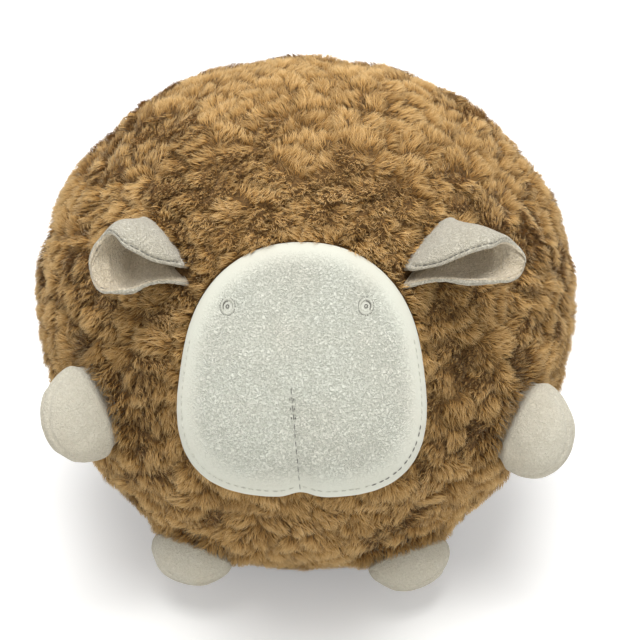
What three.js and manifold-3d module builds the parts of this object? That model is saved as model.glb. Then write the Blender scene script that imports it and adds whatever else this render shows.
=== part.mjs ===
// Sheep cushion: a stuffed ball of pile cloth with a velour face, ears, paws, feet and a short tail.
// Millimetres, +Z up. The sheep looks along -Y and its left side is +X.
// The origin is the middle of the flat that it rests on.
import * as THREE from "three";
import { mergeVertices } from "three/addons/utils/BufferGeometryUtils.js";
import Module from "manifold-3d";

const wasm = await Module();
wasm.setup();

// Cloth and sewing
const pileCloth = 13; // backing and standing pile together
const velour = 1.6; // short-napped cloth of the face, ears, paws and feet
const seamGap = 0.4; // between two pieces that are sewn together
const socketGap = 0.6; // between a root and the pocket in the pile that it sits in

// Ball
const ballRadius = 174; // to the outside of the pile
const crownHeight = 153; // from its widest level to its top
const middleHeight = 165; // of the widest level above what it rests on
const seatPress = 14; // how far the round underside would reach below the flat
const seatDepth = middleHeight + seatPress;
const crownFullness = 2.03; // exponent of the meridian above the middle, 2 is an ellipse
const seatFullness = 2.04; // and below it
const seatSoftness = 10; // height over which the round underside turns into the flat
const seatCut = 0.5; // how deep the underside is cut flat
const baseRadius = 85; // of the round panel underneath
const lumpDip = 3.4; // how far the pile dips between its large lumps
const lumpPitch = 62; // from one lump to the next
const lumpClear = 30; // the pile is level this near a sewn root
const lumpEnd = 138; // degrees down to where the lumps fade into the underside
const panelSteps = 12; // facets across a quarter panel
const sideRows = 18; // facets from the top to the base panel
const rimRows = 2; // facets from the base panel's seam to the flat
const flatRows = 1; // facets across the flat

// Face
const faceHalfWidth = 61.5;
const faceHalfLength = 64.5;
const faceTaper = 0.125; // how much the brow is narrower and the muzzle wider
const browRoundness = 2.3; // exponent of the outline at the brow
const chinRoundness = 3; // and at the chin
const faceShift = 0.8; // towards the sheep's left, as the face is sewn on by hand
const faceSink = 1.3; // of the rim's middle inside the ball's greatest reach forwards
const faceRise = 31.7; // of the rim's middle over the ball's widest level
const faceTilt = 29.7; // degrees that the rim's plane leans back
const browCrown = 13; // height of the stuffed face over its rim, at the brow
const muzzleCrown = 25; // and at the muzzle
const chinNotch = 2.6; // where the dart reaches the rim
const dartLength = 55; // of the dart, up the middle of the muzzle
const dartPinch = 3.2; // how deep the dart draws the muzzle in
const dartWidth = 7;
const dartSlant = 5; // of the dart's stitches, which lean to the sheep's right at the top
const gussetDraw = 0.1; // how far the chin panel draws in towards the ball
const faceColumns = 36;
const faceRings = 7;
const faceReach = 95; // from the rim back into the ball, before it is cut to the ball

// Embroidery on the face
const eyeRadius = 6;
const eyeThread = 1.3; // radius of the satin ring
// Each eye from the middle of the face, across and along it, sewn by hand
const eyePlaces = {
  left: { across: 31.8, rise: 30.6 },
  right: { across: 37.3, rise: 30.2 },
};
const threadRadius = 0.5;
const rimStitchInset = 0.055; // share of the way in from the rim

// Ears, mirrored for the right side
const earCloth = velour;
const earRootSpan = 23; // half the sewn line
const earRootFold = 4.2; // half the thickness of the folded root
const earRootDepth = 3.6; // into the pile
const earStand = 16; // how far it stands up before it leans over
const earRest = 3; // from the middle of the ear's cloth to the pile that it lies on
const earDepth = 16; // of the open channel, front to back
const earWrap = 128; // degrees that the cloth reaches round either way at the root
const earBack = 203; // degrees round to the middle of the cloth at the root
// Each ear, sewn on by hand: the middle of its sewn line and how far that leans from level,
// then where its tip lies, how high its channel is, and how far round it reaches
const earShapes = {
  right: {
    azimuth: 28.7,
    latitude: 30.9,
    turn: 34,
    tipOut: 33,
    tipForward: 30,
    tipUp: 0,
    height: 17.5,
    wrap: 150,
    back: 158,
    tipBack: 200,
  },
  left: {
    azimuth: 26.1,
    latitude: 31.3,
    turn: 37,
    tipOut: 44.8,
    tipForward: 27,
    tipUp: 3,
    height: 13,
    wrap: 153,
    back: 158,
    tipBack: 200,
  },
};
const earRows = 10;
const earColumns = 13;

// Paws, feet and tail: one kind of stuffed stub in three sizes
const paw = {
  reach: 36,
  swell: 8,
  halfWidth: 27,
  halfThick: 15.5,
  rootHalfWidth: 24,
  rootHalfThick: 11,
  rootDepth: 5,
  droop: 3,
  lean: 24,
};
const foot = {
  reach: 25,
  swell: 5,
  halfWidth: 27,
  halfThick: 13,
  rootHalfWidth: 24,
  rootHalfThick: 9.5,
  rootDepth: 5,
  droop: -8,
  lean: 86,
};
const tail = {
  reach: 46,
  swell: 24,
  halfWidth: 19,
  halfThick: 11,
  rootHalfWidth: 11,
  rootHalfThick: 5.5,
  rootDepth: 5,
  polar: 104,
  azimuth: 180,
  droop: 28,
  lean: 90,
};
const pawPlaces = {
  left: { polar: 98, azimuth: 45 }, // sewn on by hand, a little lower and further back
  right: { polar: 94, azimuth: 41 },
};
const footPlaces = {
  left: { polar: 132.5, azimuth: 28.8 },
  right: { polar: 131, azimuth: 29.4 },
};
const stubRows = 8;
const stubColumns = 6;

const sides = [
  { word: "left", side: 1 },
  { word: "right", side: -1 },
];

const furBrown = 0xa07846;
const creamVelour = 0xdedfd5;
const threadGrey = 0x8f8f88;
const fibreWhite = 0xf2f0ea;

const sheep = new THREE.Group();
sheep.name = "sheep_cushion";

const radians = THREE.MathUtils.degToRad;

// A closed geometry from loose triangles: corners are merged, slivers dropped and faces turned outwards
function bodyFromTriangles(corners) {
  const loose = new THREE.BufferGeometry();
  loose.setAttribute("position", new THREE.Float32BufferAttribute(corners, 3));
  const merged = mergeVertices(loose, 1e-3);
  const spots = merged.attributes.position;
  const order = merged.index.array;
  const kept = [];
  let volume = 0;
  const a = new THREE.Vector3();
  const b = new THREE.Vector3();
  const c = new THREE.Vector3();
  for (let i = 0; i < order.length; i += 3) {
    const [p, q, r] = [order[i], order[i + 1], order[i + 2]];
    if (p !== q && q !== r && r !== p) {
      kept.push(p, q, r);
      a.fromBufferAttribute(spots, p);
      b.fromBufferAttribute(spots, q);
      c.fromBufferAttribute(spots, r);
      volume += a.dot(b.cross(c));
    }
  }
  if (volume < 0) kept.reverse();
  merged.setIndex(kept);
  return merged;
}

// Two triangles with the corners a, b, c and d in turn
function addQuad(corners, a, b, c, d) {
  for (const point of [a, b, c, a, c, d]) {
    corners.push(point.x, point.y, point.z);
  }
}

// The solid between two grids of the same size, its edges closed by strips.
// Where the columns run all the way round, only the first and last rows have an edge.
function bodyBetween(outside, inside, runsRound = false) {
  const corners = [];
  const rows = outside.length - 1;
  const columns = outside[0].length - 1;
  for (let i = 0; i < rows; i += 1) {
    for (let j = 0; j < columns; j += 1) {
      addQuad(corners, outside[i][j], outside[i][j + 1], outside[i + 1][j + 1], outside[i + 1][j]);
      addQuad(corners, inside[i][j], inside[i + 1][j], inside[i + 1][j + 1], inside[i][j + 1]);
    }
  }
  for (let j = 0; j < columns; j += 1) {
    addQuad(corners, outside[0][j], inside[0][j], inside[0][j + 1], outside[0][j + 1]);
    addQuad(corners, outside[rows][j], outside[rows][j + 1], inside[rows][j + 1], inside[rows][j]);
  }
  if (!runsRound) {
    for (let i = 0; i < rows; i += 1) {
      const [outer, outerNext, inner, innerNext] = [outside[i], outside[i + 1], inside[i], inside[i + 1]];
      addQuad(corners, outer[0], outerNext[0], innerNext[0], inner[0]);
      addQuad(corners, outer[columns], inner[columns], innerNext[columns], outerNext[columns]);
    }
  }
  return bodyFromTriangles(corners);
}

// A solid through a stack of closed rings, with both ends closed by a fan to the ring's middle
function bodyThroughRings(rings) {
  const middleOf = (ring) => {
    const middle = new THREE.Vector3();
    for (let j = 0; j < ring.length - 1; j += 1) middle.add(ring[j]);
    return middle.divideScalar(ring.length - 1);
  };
  const first = rings[0].map(() => middleOf(rings[0]));
  const last = rings[0].map(() => middleOf(rings[rings.length - 1]));
  const stack = [first, ...rings, last];
  const corners = [];
  for (let i = 0; i < stack.length - 1; i += 1) {
    for (let j = 0; j < rings[0].length - 1; j += 1) {
      addQuad(corners, stack[i][j], stack[i][j + 1], stack[i + 1][j + 1], stack[i + 1][j]);
    }
  }
  return bodyFromTriangles(corners);
}

// To and from the solids that can be cut
function toSolid(geometry) {
  return new wasm.Manifold(
    new wasm.Mesh({
      numProp: 3,
      vertProperties: new Float32Array(geometry.attributes.position.array),
      triVerts: new Uint32Array(geometry.index.array),
    })
  );
}

function toGeometry(solid) {
  const { vertProperties, triVerts } = solid.getMesh();
  const geometry = new THREE.BufferGeometry();
  geometry.setAttribute("position", new THREE.BufferAttribute(vertProperties, 3));
  geometry.setIndex(new THREE.BufferAttribute(triVerts, 1));
  return geometry;
}

function cut(geometry, tools) {
  let solid = toSolid(geometry);
  for (const tool of tools) {
    solid = solid.subtract(toSolid(tool));
  }
  return toGeometry(solid);
}

function addPiece(name, geometry, color, roughness = 1) {
  const material = new THREE.MeshStandardMaterial({ color, roughness, metalness: 0 });
  const mesh = new THREE.Mesh(geometry, material);
  mesh.name = name;
  sheep.add(mesh);
  return mesh;
}

// Rows and columns of points, each from its shares of the way down and across
function grid(rows, columns, pointAt) {
  const points = [];
  for (let i = 0; i <= rows; i += 1) {
    const row = [];
    for (let j = 0; j <= columns; j += 1) row.push(pointAt(i / rows, j / columns));
    points.push(row);
  }
  return points;
}

// Ball

// The underside settles: a height under the soft range is rounded into the flat, and cut there
function settle(height, floor) {
  const above = height - floor;
  if (above > seatSoftness) return floor + above - seatCut;
  const rounded = above < -seatSoftness ? 0 : (above + seatSoftness) ** 2 / (4 * seatSoftness);
  return floor + Math.max(rounded - seatCut, 0);
}

// Azimuth 0 is the sheep's front and grows towards its left, polar 0 is the top.
// Depth is measured in from the outside of the pile.
function ballPoint(azimuth, polar, depth = 0) {
  const above = polar < Math.PI / 2;
  const power = 2 / (above ? crownFullness : seatFullness);
  const reach = (ballRadius - depth) * Math.abs(Math.sin(polar)) ** power;
  const rise = (above ? crownHeight - depth : depth - seatDepth) * Math.abs(Math.cos(polar)) ** power;
  return new THREE.Vector3(
    reach * Math.sin(azimuth),
    -reach * Math.cos(azimuth),
    settle(middleHeight + rise, depth)
  );
}

const baseSeamPolar = Math.PI - Math.asin((baseRadius / ballRadius) ** (seatFullness / 2));
const flatRise = 2 * Math.sqrt(seatSoftness * seatCut) - seatSoftness - middleHeight;
const flatPolar = Math.acos(-((-flatRise / seatDepth) ** (seatFullness / 2)));
const seamAngle = seamGap / baseRadius;

// Polar angles of the base panel's rows, from its seam to the middle of the flat
function basePolars(start) {
  const polars = [];
  for (let i = 0; i <= rimRows; i += 1) {
    polars.push(start + ((flatPolar - start) * i) / rimRows);
  }
  for (let i = 1; i <= flatRows; i += 1) {
    polars.push(flatPolar + ((Math.PI - flatPolar) * i) / flatRows);
  }
  return polars;
}

// One quarter of the ball's side, from the top to the base panel, moved out by half a seam
function quarterPanel(firstAzimuth) {
  const middle = firstAzimuth + Math.PI / 4;
  const shift = new THREE.Vector3(
    (Math.sign(Math.sin(middle)) * seamGap) / 2,
    (-Math.sign(Math.cos(middle)) * seamGap) / 2,
    0
  );
  const skin = (depth) =>
    grid(sideRows, panelSteps, (i, j) => {
      const [azimuth, polar] = [firstAzimuth + (j * Math.PI) / 2, i * baseSeamPolar];
      return ballPoint(azimuth, polar, depth || pileDip(azimuth, polar)).add(shift);
    });
  return bodyBetween(skin(0), skin(pileCloth));
}

function basePanel() {
  const skin = (depth) =>
    basePolars(baseSeamPolar + seamAngle).map((polar) =>
      grid(1, 4 * panelSteps, (_, j) => ballPoint(j * 2 * Math.PI, polar, depth))[0]
    );
  return bodyBetween(skin(0), skin(pileCloth), true);
}

// The ball's inside at a depth, on the same facets as the cloth around it
function ballCore(depth) {
  const polars = [];
  for (let i = 1; i <= sideRows; i += 1) polars.push((i * baseSeamPolar) / sideRows);
  polars.push(...basePolars(baseSeamPolar).slice(1, -1));
  const rings = polars.map((polar) =>
    grid(1, 4 * panelSteps, (_, j) => ballPoint(j * 2 * Math.PI, polar, depth))[0]
  );
  rings.unshift(rings[0].map(() => ballPoint(0, 0, depth)));
  rings.push(rings[0].map(() => ballPoint(0, Math.PI, depth)));
  return bodyThroughRings(rings);
}

// How far the pile's surface dips at a place: three crossed waves, each bent by another.
// There is no dip at the underside and round the roots.
function pileDip(azimuth, polar) {
  const { x, y, z } = ballPoint(azimuth, polar).multiplyScalar((2 * Math.PI) / lumpPitch);
  const first = Math.sin(x + 1.6 * Math.sin(0.53 * z));
  const second = Math.sin(y + 1.6 * Math.sin(0.61 * x));
  const third = Math.sin(z + 1.6 * Math.sin(0.47 * y));
  let share = THREE.MathUtils.smoothstep(first + second + third, -0.8, 2.2);
  share *= 1 - THREE.MathUtils.smoothstep(polar, radians(lumpEnd - 22), radians(lumpEnd));
  const spot = ballPoint(azimuth, polar);
  for (const root of rootPlaces()) {
    share *= THREE.MathUtils.smoothstep(spot.distanceTo(root), lumpClear, 2 * lumpClear);
  }
  return lumpDip * share;
}

// Where the ears, paws, feet and tail are sewn on
function rootPlaces() {
  const places = [ballPoint(radians(tail.azimuth), radians(tail.polar))];
  for (const { word, side } of sides) {
    const ear = earShapes[word];
    places.push(ballPoint(side * radians(ear.azimuth), radians(90 - ear.latitude)));
    for (const place of [pawPlaces[word], footPlaces[word]]) {
      places.push(ballPoint(side * radians(place.azimuth), radians(place.polar)));
    }
  }
  return places;
}

// Outward direction of the ball's surface
function ballNormal(azimuth, polar) {
  const step = 0.01;
  const across = ballPoint(azimuth + step, polar).sub(ballPoint(azimuth - step, polar));
  const down = ballPoint(azimuth, polar + step).sub(ballPoint(azimuth, polar - step));
  return down.cross(across).normalize();
}

// Face

const faceUp = new THREE.Vector3(0, Math.sin(radians(faceTilt)), Math.cos(radians(faceTilt)));
const faceOut = new THREE.Vector3(0, -Math.cos(radians(faceTilt)), Math.sin(radians(faceTilt)));
const faceMiddle = new THREE.Vector3(faceShift, faceSink - ballRadius, middleHeight + faceRise);

// Outline of the face in its own plane: a superellipse, narrow at the brow, with a notch at the chin.
// Turn 0 is the brow and grows towards the sheep's left.
function faceOutline(turn, inset = 0) {
  const browShare = (1 + Math.cos(turn)) / 2;
  const roundness = chinRoundness + (browRoundness - chinRoundness) * browShare;
  const across = Math.abs(Math.sin(turn) / (faceHalfWidth - inset)) ** roundness;
  const along = Math.abs(Math.cos(turn) / (faceHalfLength - inset)) ** roundness;
  const radius = (across + along) ** (-1 / roundness);
  const x = radius * Math.sin(turn) * (1 - faceTaper * Math.cos(turn));
  const notch = Math.cos(turn) < 0 ? chinNotch * Math.exp(-((x / dartWidth) ** 2)) : 0;
  return new THREE.Vector2(x, radius * Math.cos(turn) + notch);
}

// A place in the face's own plane, raised by a height
function facePlace(x, along, height) {
  return faceMiddle
    .clone()
    .add(new THREE.Vector3(x, 0, 0))
    .addScaledVector(faceUp, along)
    .addScaledVector(faceOut, height);
}

// The stuffed front: crowned over its rim, fuller at the muzzle, drawn in along the dart
function faceFront(turn, share, inset = 0) {
  const rim = faceOutline(turn, inset);
  const x = rim.x * share;
  const along = rim.y * share;
  const browShare = THREE.MathUtils.smoothstep(along, -faceHalfLength, faceHalfLength);
  const crown = muzzleCrown + (browCrown - muzzleCrown) * browShare;
  const dome = (1 - share ** 2.6) ** 0.6;
  const dartTop = dartLength - faceHalfLength;
  const dart = THREE.MathUtils.smoothstep(-along, -dartTop, faceHalfLength);
  const pinch = dartPinch * dart * Math.exp(-((x / dartWidth) ** 2)) * Math.min(1, 3 * dome);
  return facePlace(x, along, crown * dome - pinch - inset * dome);
}

function faceRing(share, inset, height) {
  const ring = [];
  for (let j = 0; j <= faceColumns; j += 1) {
    const rim = faceOutline((j * 2 * Math.PI) / faceColumns, inset);
    ring.push(facePlace(rim.x * share, rim.y * share, height));
  }
  return ring;
}

function faceSkin(inset, lift) {
  return grid(faceRings, faceColumns, (i, j) => {
    const share = Math.sin((i * Math.PI) / 2);
    return faceFront(j * 2 * Math.PI, share, inset).addScaledVector(faceOut, lift);
  });
}

// The front panel ends at its rim, and the chin panel goes back from there into the ball
function facePanel() {
  return bodyBetween(faceSkin(0, seamGap), faceSkin(velour, seamGap), true);
}

function gussetRings(inset, front) {
  return [faceRing(1, inset, front), faceRing(1 - gussetDraw, inset, -faceReach)];
}

function faceFilling() {
  const front = faceSkin(velour + seamGap, 0).slice(1);
  const back = gussetRings(velour + seamGap, 0)[1];
  return cut(bodyThroughRings([...front, back]), [ballCore(pileCloth)]);
}

function chinPanel() {
  const band = bodyBetween(gussetRings(0, 0), gussetRings(velour, 0), true);
  return cut(band, [ballCore(pileCloth)]);
}

// What the face takes out of the pile cloth around it
function faceOpening() {
  return bodyThroughRings([faceRing(1, -seamGap, faceReach), ...gussetRings(-seamGap, 0)]);
}

// An outward direction of the face's front, and a spot on it
function faceSpot(x, along, lift) {
  const place = (dx, dy) => {
    const turn = Math.atan2(x + dx, along + dy);
    const rim = faceOutline(turn);
    return faceFront(turn, Math.hypot(x + dx, along + dy) / rim.length());
  };
  const spot = place(0, 0);
  const across = place(0.5, 0).sub(place(-0.5, 0));
  const up = place(0, 0.5).sub(place(0, -0.5));
  const out = across.cross(up).normalize();
  return { point: spot.addScaledVector(out, lift + seamGap), out };
}

// A raised satin ring with a knot in its middle, on a thin bed of thread
function eyeGeometry() {
  const profile = [new THREE.Vector2(0, 0), new THREE.Vector2(eyeRadius, 0)];
  for (let i = 1; i <= 5; i += 1) {
    const angle = (i * Math.PI) / 6;
    const x = eyeRadius - eyeThread + eyeThread * Math.cos(angle);
    profile.push(new THREE.Vector2(x, eyeThread * Math.sin(angle)));
  }
  profile.push(new THREE.Vector2(eyeRadius - 2 * eyeThread, eyeThread / 3));
  profile.push(new THREE.Vector2(eyeThread * 1.1, eyeThread / 3));
  profile.push(new THREE.Vector2(eyeThread * 0.8, eyeThread));
  profile.push(new THREE.Vector2(0, eyeThread * 1.1));
  const ring = new THREE.LatheGeometry(profile, 20);
  ring.rotateX(Math.PI / 2);
  ring.deleteAttribute("normal");
  ring.deleteAttribute("uv");
  return bodyFromTriangles(ring.toNonIndexed().attributes.position.array);
}

function addEye(name, place, side) {
  const { point, out } = faceSpot(side * place.across, place.rise, 0.2);
  const eye = addPiece(name, eyeGeometry(), threadGrey, 0.6);
  eye.position.copy(point);
  eye.quaternion.setFromUnitVectors(new THREE.Vector3(0, 0, 1), out);
}

// A thread laid along points, as a closed tube
function threadBody(points) {
  const curve = new THREE.CatmullRomCurve3(points);
  const section = new THREE.Shape();
  section.absarc(0, 0, threadRadius, 0, 2 * Math.PI);
  const tube = new THREE.ExtrudeGeometry(section, {
    steps: 2 * points.length,
    curveSegments: 3,
    bevelEnabled: false,
    extrudePath: curve,
  });
  tube.deleteAttribute("normal");
  tube.deleteAttribute("uv");
  return bodyFromTriangles(tube.attributes.position.array);
}

function dartThread() {
  const points = [];
  const dartTop = dartLength - faceHalfLength;
  const dartEnd = (chinNotch - faceHalfLength) * (1 - rimStitchInset) + 3 * threadRadius + seamGap;
  const count = 9;
  for (let i = 0; i <= count; i += 1) {
    const along = dartTop + (dartEnd - dartTop) * (i / count);
    const x = (-dartSlant * (along + faceHalfLength)) / dartLength;
    points.push(faceSpot(x, along, threadRadius + 0.3).point);
  }
  return threadBody(points);
}

function rimThread() {
  const points = [];
  const count = 20;
  for (let i = 0; i <= count; i += 1) {
    const turn = radians(75 + (285 - 75) * (i / count));
    const rim = faceOutline(turn).multiplyScalar(1 - rimStitchInset);
    points.push(faceSpot(rim.x, rim.y, threadRadius + 0.6).point);
  }
  return threadBody(points);
}

// Stuffed stubs

// Where a stub is sewn on: its middle, the way it points, and its width and thickness directions
function stubFrame(stub, side, place = stub) {
  const azimuth = side * radians(place.azimuth);
  const polar = radians(place.polar);
  const root = ballPoint(azimuth, polar);
  const out = ballNormal(azimuth, polar);
  const level = new THREE.Vector3(Math.cos(azimuth), Math.sin(azimuth), 0).multiplyScalar(side);
  const upward = new THREE.Vector3().crossVectors(out, level).normalize();
  if (upward.z < 0) upward.negate();
  const lean = radians(stub.lean);
  const wide = upward.clone().multiplyScalar(Math.cos(lean)).addScaledVector(level, Math.sin(lean));
  const thick = new THREE.Vector3().crossVectors(out, wide).normalize();
  if (thick.z < 0) thick.negate();
  const along = out.clone().addScaledVector(upward, -Math.tan(radians(stub.droop))).normalize();
  const flat = new THREE.Vector3().crossVectors(along, wide).normalize();
  if (flat.dot(thick) < 0) flat.negate();
  return { root, out, wide, along, flat };
}

// Half width or half thickness of a stub at a distance from its root: it swells, then rounds off
function stubProfile(distance, rootHalf, half, swell, reach) {
  if (distance > swell) {
    return half * Math.sqrt(Math.max(0, 1 - ((distance - swell) / (reach - swell)) ** 2));
  }
  return rootHalf + (half - rootHalf) * THREE.MathUtils.smoothstep(distance, 0, swell);
}

// A ring of a stub's skin at a share of the way from its root to its tip
function stubRing(stub, frame, share, inset, from, to, shift) {
  const reach = stub.reach - inset;
  const turn = share * (Math.PI / 2);
  const distance = -stub.rootDepth + (reach + stub.rootDepth) * Math.sin(turn);
  const wide = stubProfile(distance, stub.rootHalfWidth, stub.halfWidth, stub.swell, reach);
  const thick = stubProfile(distance, stub.rootHalfThick, stub.halfThick, stub.swell, reach);
  const middle = frame.root.clone().addScaledVector(frame.along, distance);
  const ring = [];
  const columns = Math.round((stubColumns * Math.abs(to - from)) / Math.PI);
  for (let j = 0; j <= columns; j += 1) {
    const angle = from + ((to - from) * j) / columns;
    ring.push(
      middle
        .clone()
        .addScaledVector(frame.wide, Math.max(0, wide - inset) * Math.cos(angle))
        .addScaledVector(frame.flat, Math.max(0, thick - inset) * Math.sin(angle) + shift)
    );
  }
  return ring;
}

function stubSkin(stub, frame, inset, from, to, shift) {
  const rings = [];
  for (let i = 0; i <= stubRows; i += 1) {
    rings.push(stubRing(stub, frame, i / stubRows, inset, from, to, shift));
  }
  return rings;
}

// The upper or lower half of a stub's cover, with half a seam between it and the other half
function stubCover(stub, frame, upper, cloth) {
  const from = upper ? 0 : Math.PI;
  const shift = upper ? seamGap / 2 : -seamGap / 2;
  return bodyBetween(
    stubSkin(stub, frame, 0, from, from + Math.PI, shift),
    stubSkin(stub, frame, cloth, from, from + Math.PI, shift)
  );
}

function stubFilling(stub, frame, cloth) {
  return bodyThroughRings(stubSkin(stub, frame, cloth + seamGap, 0, 2 * Math.PI, 0));
}

// The pocket that a root turns in: a cylinder along the sewn line
function rootPocket(root, line, halfLength, radius) {
  const pocket = new THREE.CylinderGeometry(radius, radius, 2 * (halfLength + socketGap), 20);
  pocket.deleteAttribute("normal");
  pocket.deleteAttribute("uv");
  const turn = new THREE.Quaternion().setFromUnitVectors(new THREE.Vector3(0, 1, 0), line);
  pocket.applyQuaternion(turn);
  pocket.translate(root.x, root.y, root.z);
  return bodyFromTriangles(pocket.toNonIndexed().attributes.position.array);
}

function stubPocket(stub, frame) {
  const radius = Math.hypot(stub.rootHalfThick + seamGap, stub.rootDepth) + socketGap;
  return rootPocket(frame.root, frame.wide, stub.rootHalfWidth, radius);
}

// Ears

// The sewn line of an ear, in the ball's surface, and the direction it stands up in
function earFrame(shape, side) {
  const azimuth = side * radians(shape.azimuth);
  const polar = radians(90 - shape.latitude);
  const root = ballPoint(azimuth, polar);
  const out = ballNormal(azimuth, polar);
  const inward = new THREE.Vector3(-Math.cos(azimuth), -Math.sin(azimuth), 0).multiplyScalar(side);
  const down = new THREE.Vector3().crossVectors(out, inward).normalize();
  if (down.z > 0) down.negate();
  const turn = radians(shape.turn);
  const line = inward.clone().multiplyScalar(Math.cos(turn)).addScaledVector(down, Math.sin(turn));
  const under = new THREE.Vector3().crossVectors(out, line).normalize();
  if (under.z > 0) under.negate();
  return { root, out, line, under };
}

// A spot raised out of the pile where an ear would dip into it, by a share of what it lacks
function clearOfPile(spot, share) {
  const middle = new THREE.Vector3(0, 0, middleHeight - seatCut);
  const ray = spot.clone().sub(middle);
  const across = (Math.hypot(ray.x, ray.y) / ballRadius) ** crownFullness;
  const along = Math.abs(ray.z / crownHeight) ** crownFullness;
  const height = ray.length() * (1 - (across + along) ** (-1 / crownFullness));
  const room = height - earRest;
  const lift = (Math.hypot(room, 2 * earCloth) - room) / 2;
  return spot.addScaledVector(ray.normalize(), lift * share);
}

// A leaf of cloth folded into a channel that opens forwards.
// Along runs from the sewn line to the tip, angle round the channel: 90 the fold on top, 180 the back.
function earTube(frame, shape, side, along, angle) {
  const tip = new THREE.Vector3(side * shape.tipOut, -shape.tipForward, shape.tipUp).add(frame.root);
  const start = frame.root.clone().addScaledVector(frame.out, -earRootDepth);
  const bend = frame.root.clone().addScaledVector(frame.out, earStand);
  const spine = new THREE.QuadraticBezierCurve3(start, bend, tip).getPoint(along);
  const ease = THREE.MathUtils.smoothstep(along, 0, 0.74);
  const taper = 1 - 0.35 * THREE.MathUtils.smoothstep(along, 0.6, 1);
  const forward = frame.line.clone().lerp(new THREE.Vector3(side * -0.3, -1, -0.1), ease).normalize();
  const up = frame.under.clone().negate().lerp(new THREE.Vector3(side * 0.1, 0, 1), ease).normalize();
  const round = earRootFold + (earDepth * taper - earRootFold) * ease;
  const height = earRootFold + (shape.height * taper - earRootFold) * ease;
  const straight = (earRootSpan - earRootFold) * (1 - ease);
  const cosine = Math.cos(angle);
  const run = straight * cosine * (1.5 - 0.5 * cosine ** 2) + round * cosine;
  const spot = spine.addScaledVector(forward, run).addScaledVector(up, height * Math.sin(angle));
  return clearOfPile(spot, THREE.MathUtils.smoothstep(along, 0, 0.15));
}

// A point of an ear's cloth, moved out of its middle by an offset
function earPoint(frame, shape, side, along, across, offset) {
  const leaf = (1 - along ** 4) ** (1 / 2.4);
  const ease = THREE.MathUtils.smoothstep(along, 0, 0.5);
  const half = (earWrap + (shape.wrap - earWrap) * ease) * leaf;
  const middle = earBack + (shape.back - earBack) * ease + (shape.tipBack - shape.back) * along ** 2;
  const angle = radians(middle + half * across);
  const step = 0.3 / earRows;
  const turn = Math.PI / earColumns / 2;
  const nearEnd = Math.min(along, 1 - step);
  const ahead = earTube(frame, shape, side, nearEnd + step, angle);
  const behind = earTube(frame, shape, side, Math.max(0, nearEnd - step), angle);
  const over = earTube(frame, shape, side, along, angle + turn);
  const before = earTube(frame, shape, side, along, angle - turn);
  const out = ahead.sub(behind).cross(over.sub(before)).normalize();
  return earTube(frame, shape, side, along, angle).addScaledVector(out, side * offset);
}

function earSheet(frame, shape, side, outer, inner) {
  const skin = (offset) =>
    grid(earRows, earColumns, (i, j) =>
      earPoint(frame, shape, side, Math.sin((i * Math.PI) / 2), 2 * j - 1, offset)
    );
  return bodyBetween(skin(outer), skin(inner));
}

// Pieces

const pockets = [];

for (const { word, side } of sides) {
  const pawFrame = stubFrame(paw, side, pawPlaces[word]);
  addPiece(`paw_${word}_top`, stubCover(paw, pawFrame, true, velour), creamVelour);
  addPiece(`paw_${word}_under`, stubCover(paw, pawFrame, false, velour), creamVelour);
  addPiece(`paw_${word}_filling`, stubFilling(paw, pawFrame, velour), fibreWhite);
  pockets.push(stubPocket(paw, pawFrame));

  const footFrame = stubFrame(foot, side, footPlaces[word]);
  addPiece(`foot_${word}_top`, stubCover(foot, footFrame, true, velour), creamVelour);
  addPiece(`foot_${word}_sole`, stubCover(foot, footFrame, false, velour), creamVelour);
  addPiece(`foot_${word}_filling`, stubFilling(foot, footFrame, velour), fibreWhite);
  pockets.push(stubPocket(foot, footFrame));

  const shape = earShapes[word];
  const ear = earFrame(shape, side);
  addPiece(`ear_${word}_outer`, earSheet(ear, shape, side, earCloth, 0), creamVelour);
  addPiece(`ear_${word}_lining`, earSheet(ear, shape, side, -seamGap, -seamGap - earCloth), creamVelour);
  const earPocket = Math.hypot(earRootFold + earCloth, earRootDepth) + socketGap;
  pockets.push(rootPocket(ear.root, ear.line, earRootSpan + earCloth, earPocket));
  addEye(`eye_${word}`, eyePlaces[word], side);
}

const tailFrame = stubFrame(tail, 1);
addPiece("tail_top", stubCover(tail, tailFrame, true, velour), creamVelour);
addPiece("tail_under", stubCover(tail, tailFrame, false, velour), creamVelour);
addPiece("tail_filling", stubFilling(tail, tailFrame, velour), fibreWhite);
pockets.push(stubPocket(tail, tailFrame));

addPiece("face_panel", facePanel(), creamVelour);
addPiece("chin_panel", chinPanel(), creamVelour);
addPiece("face_filling", faceFilling(), fibreWhite);
addPiece("muzzle_dart_thread", dartThread(), threadGrey, 0.6);
addPiece("muzzle_rim_thread", rimThread(), threadGrey, 0.6);

const quarters = [
  { name: "body_front_left", start: 0 },
  { name: "body_back_left", start: Math.PI / 2 },
  { name: "body_back_right", start: Math.PI },
  { name: "body_front_right", start: -Math.PI / 2 },
];
for (const { name, start } of quarters) {
  const tools = name.includes("front") ? [faceOpening(), ...pockets] : pockets;
  addPiece(name, cut(quarterPanel(start), tools), furBrown);
}
addPiece("body_base", basePanel(), furBrown);
addPiece("body_filling", ballCore(pileCloth + seamGap), fibreWhite);

export default sheep;
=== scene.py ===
import math

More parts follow.
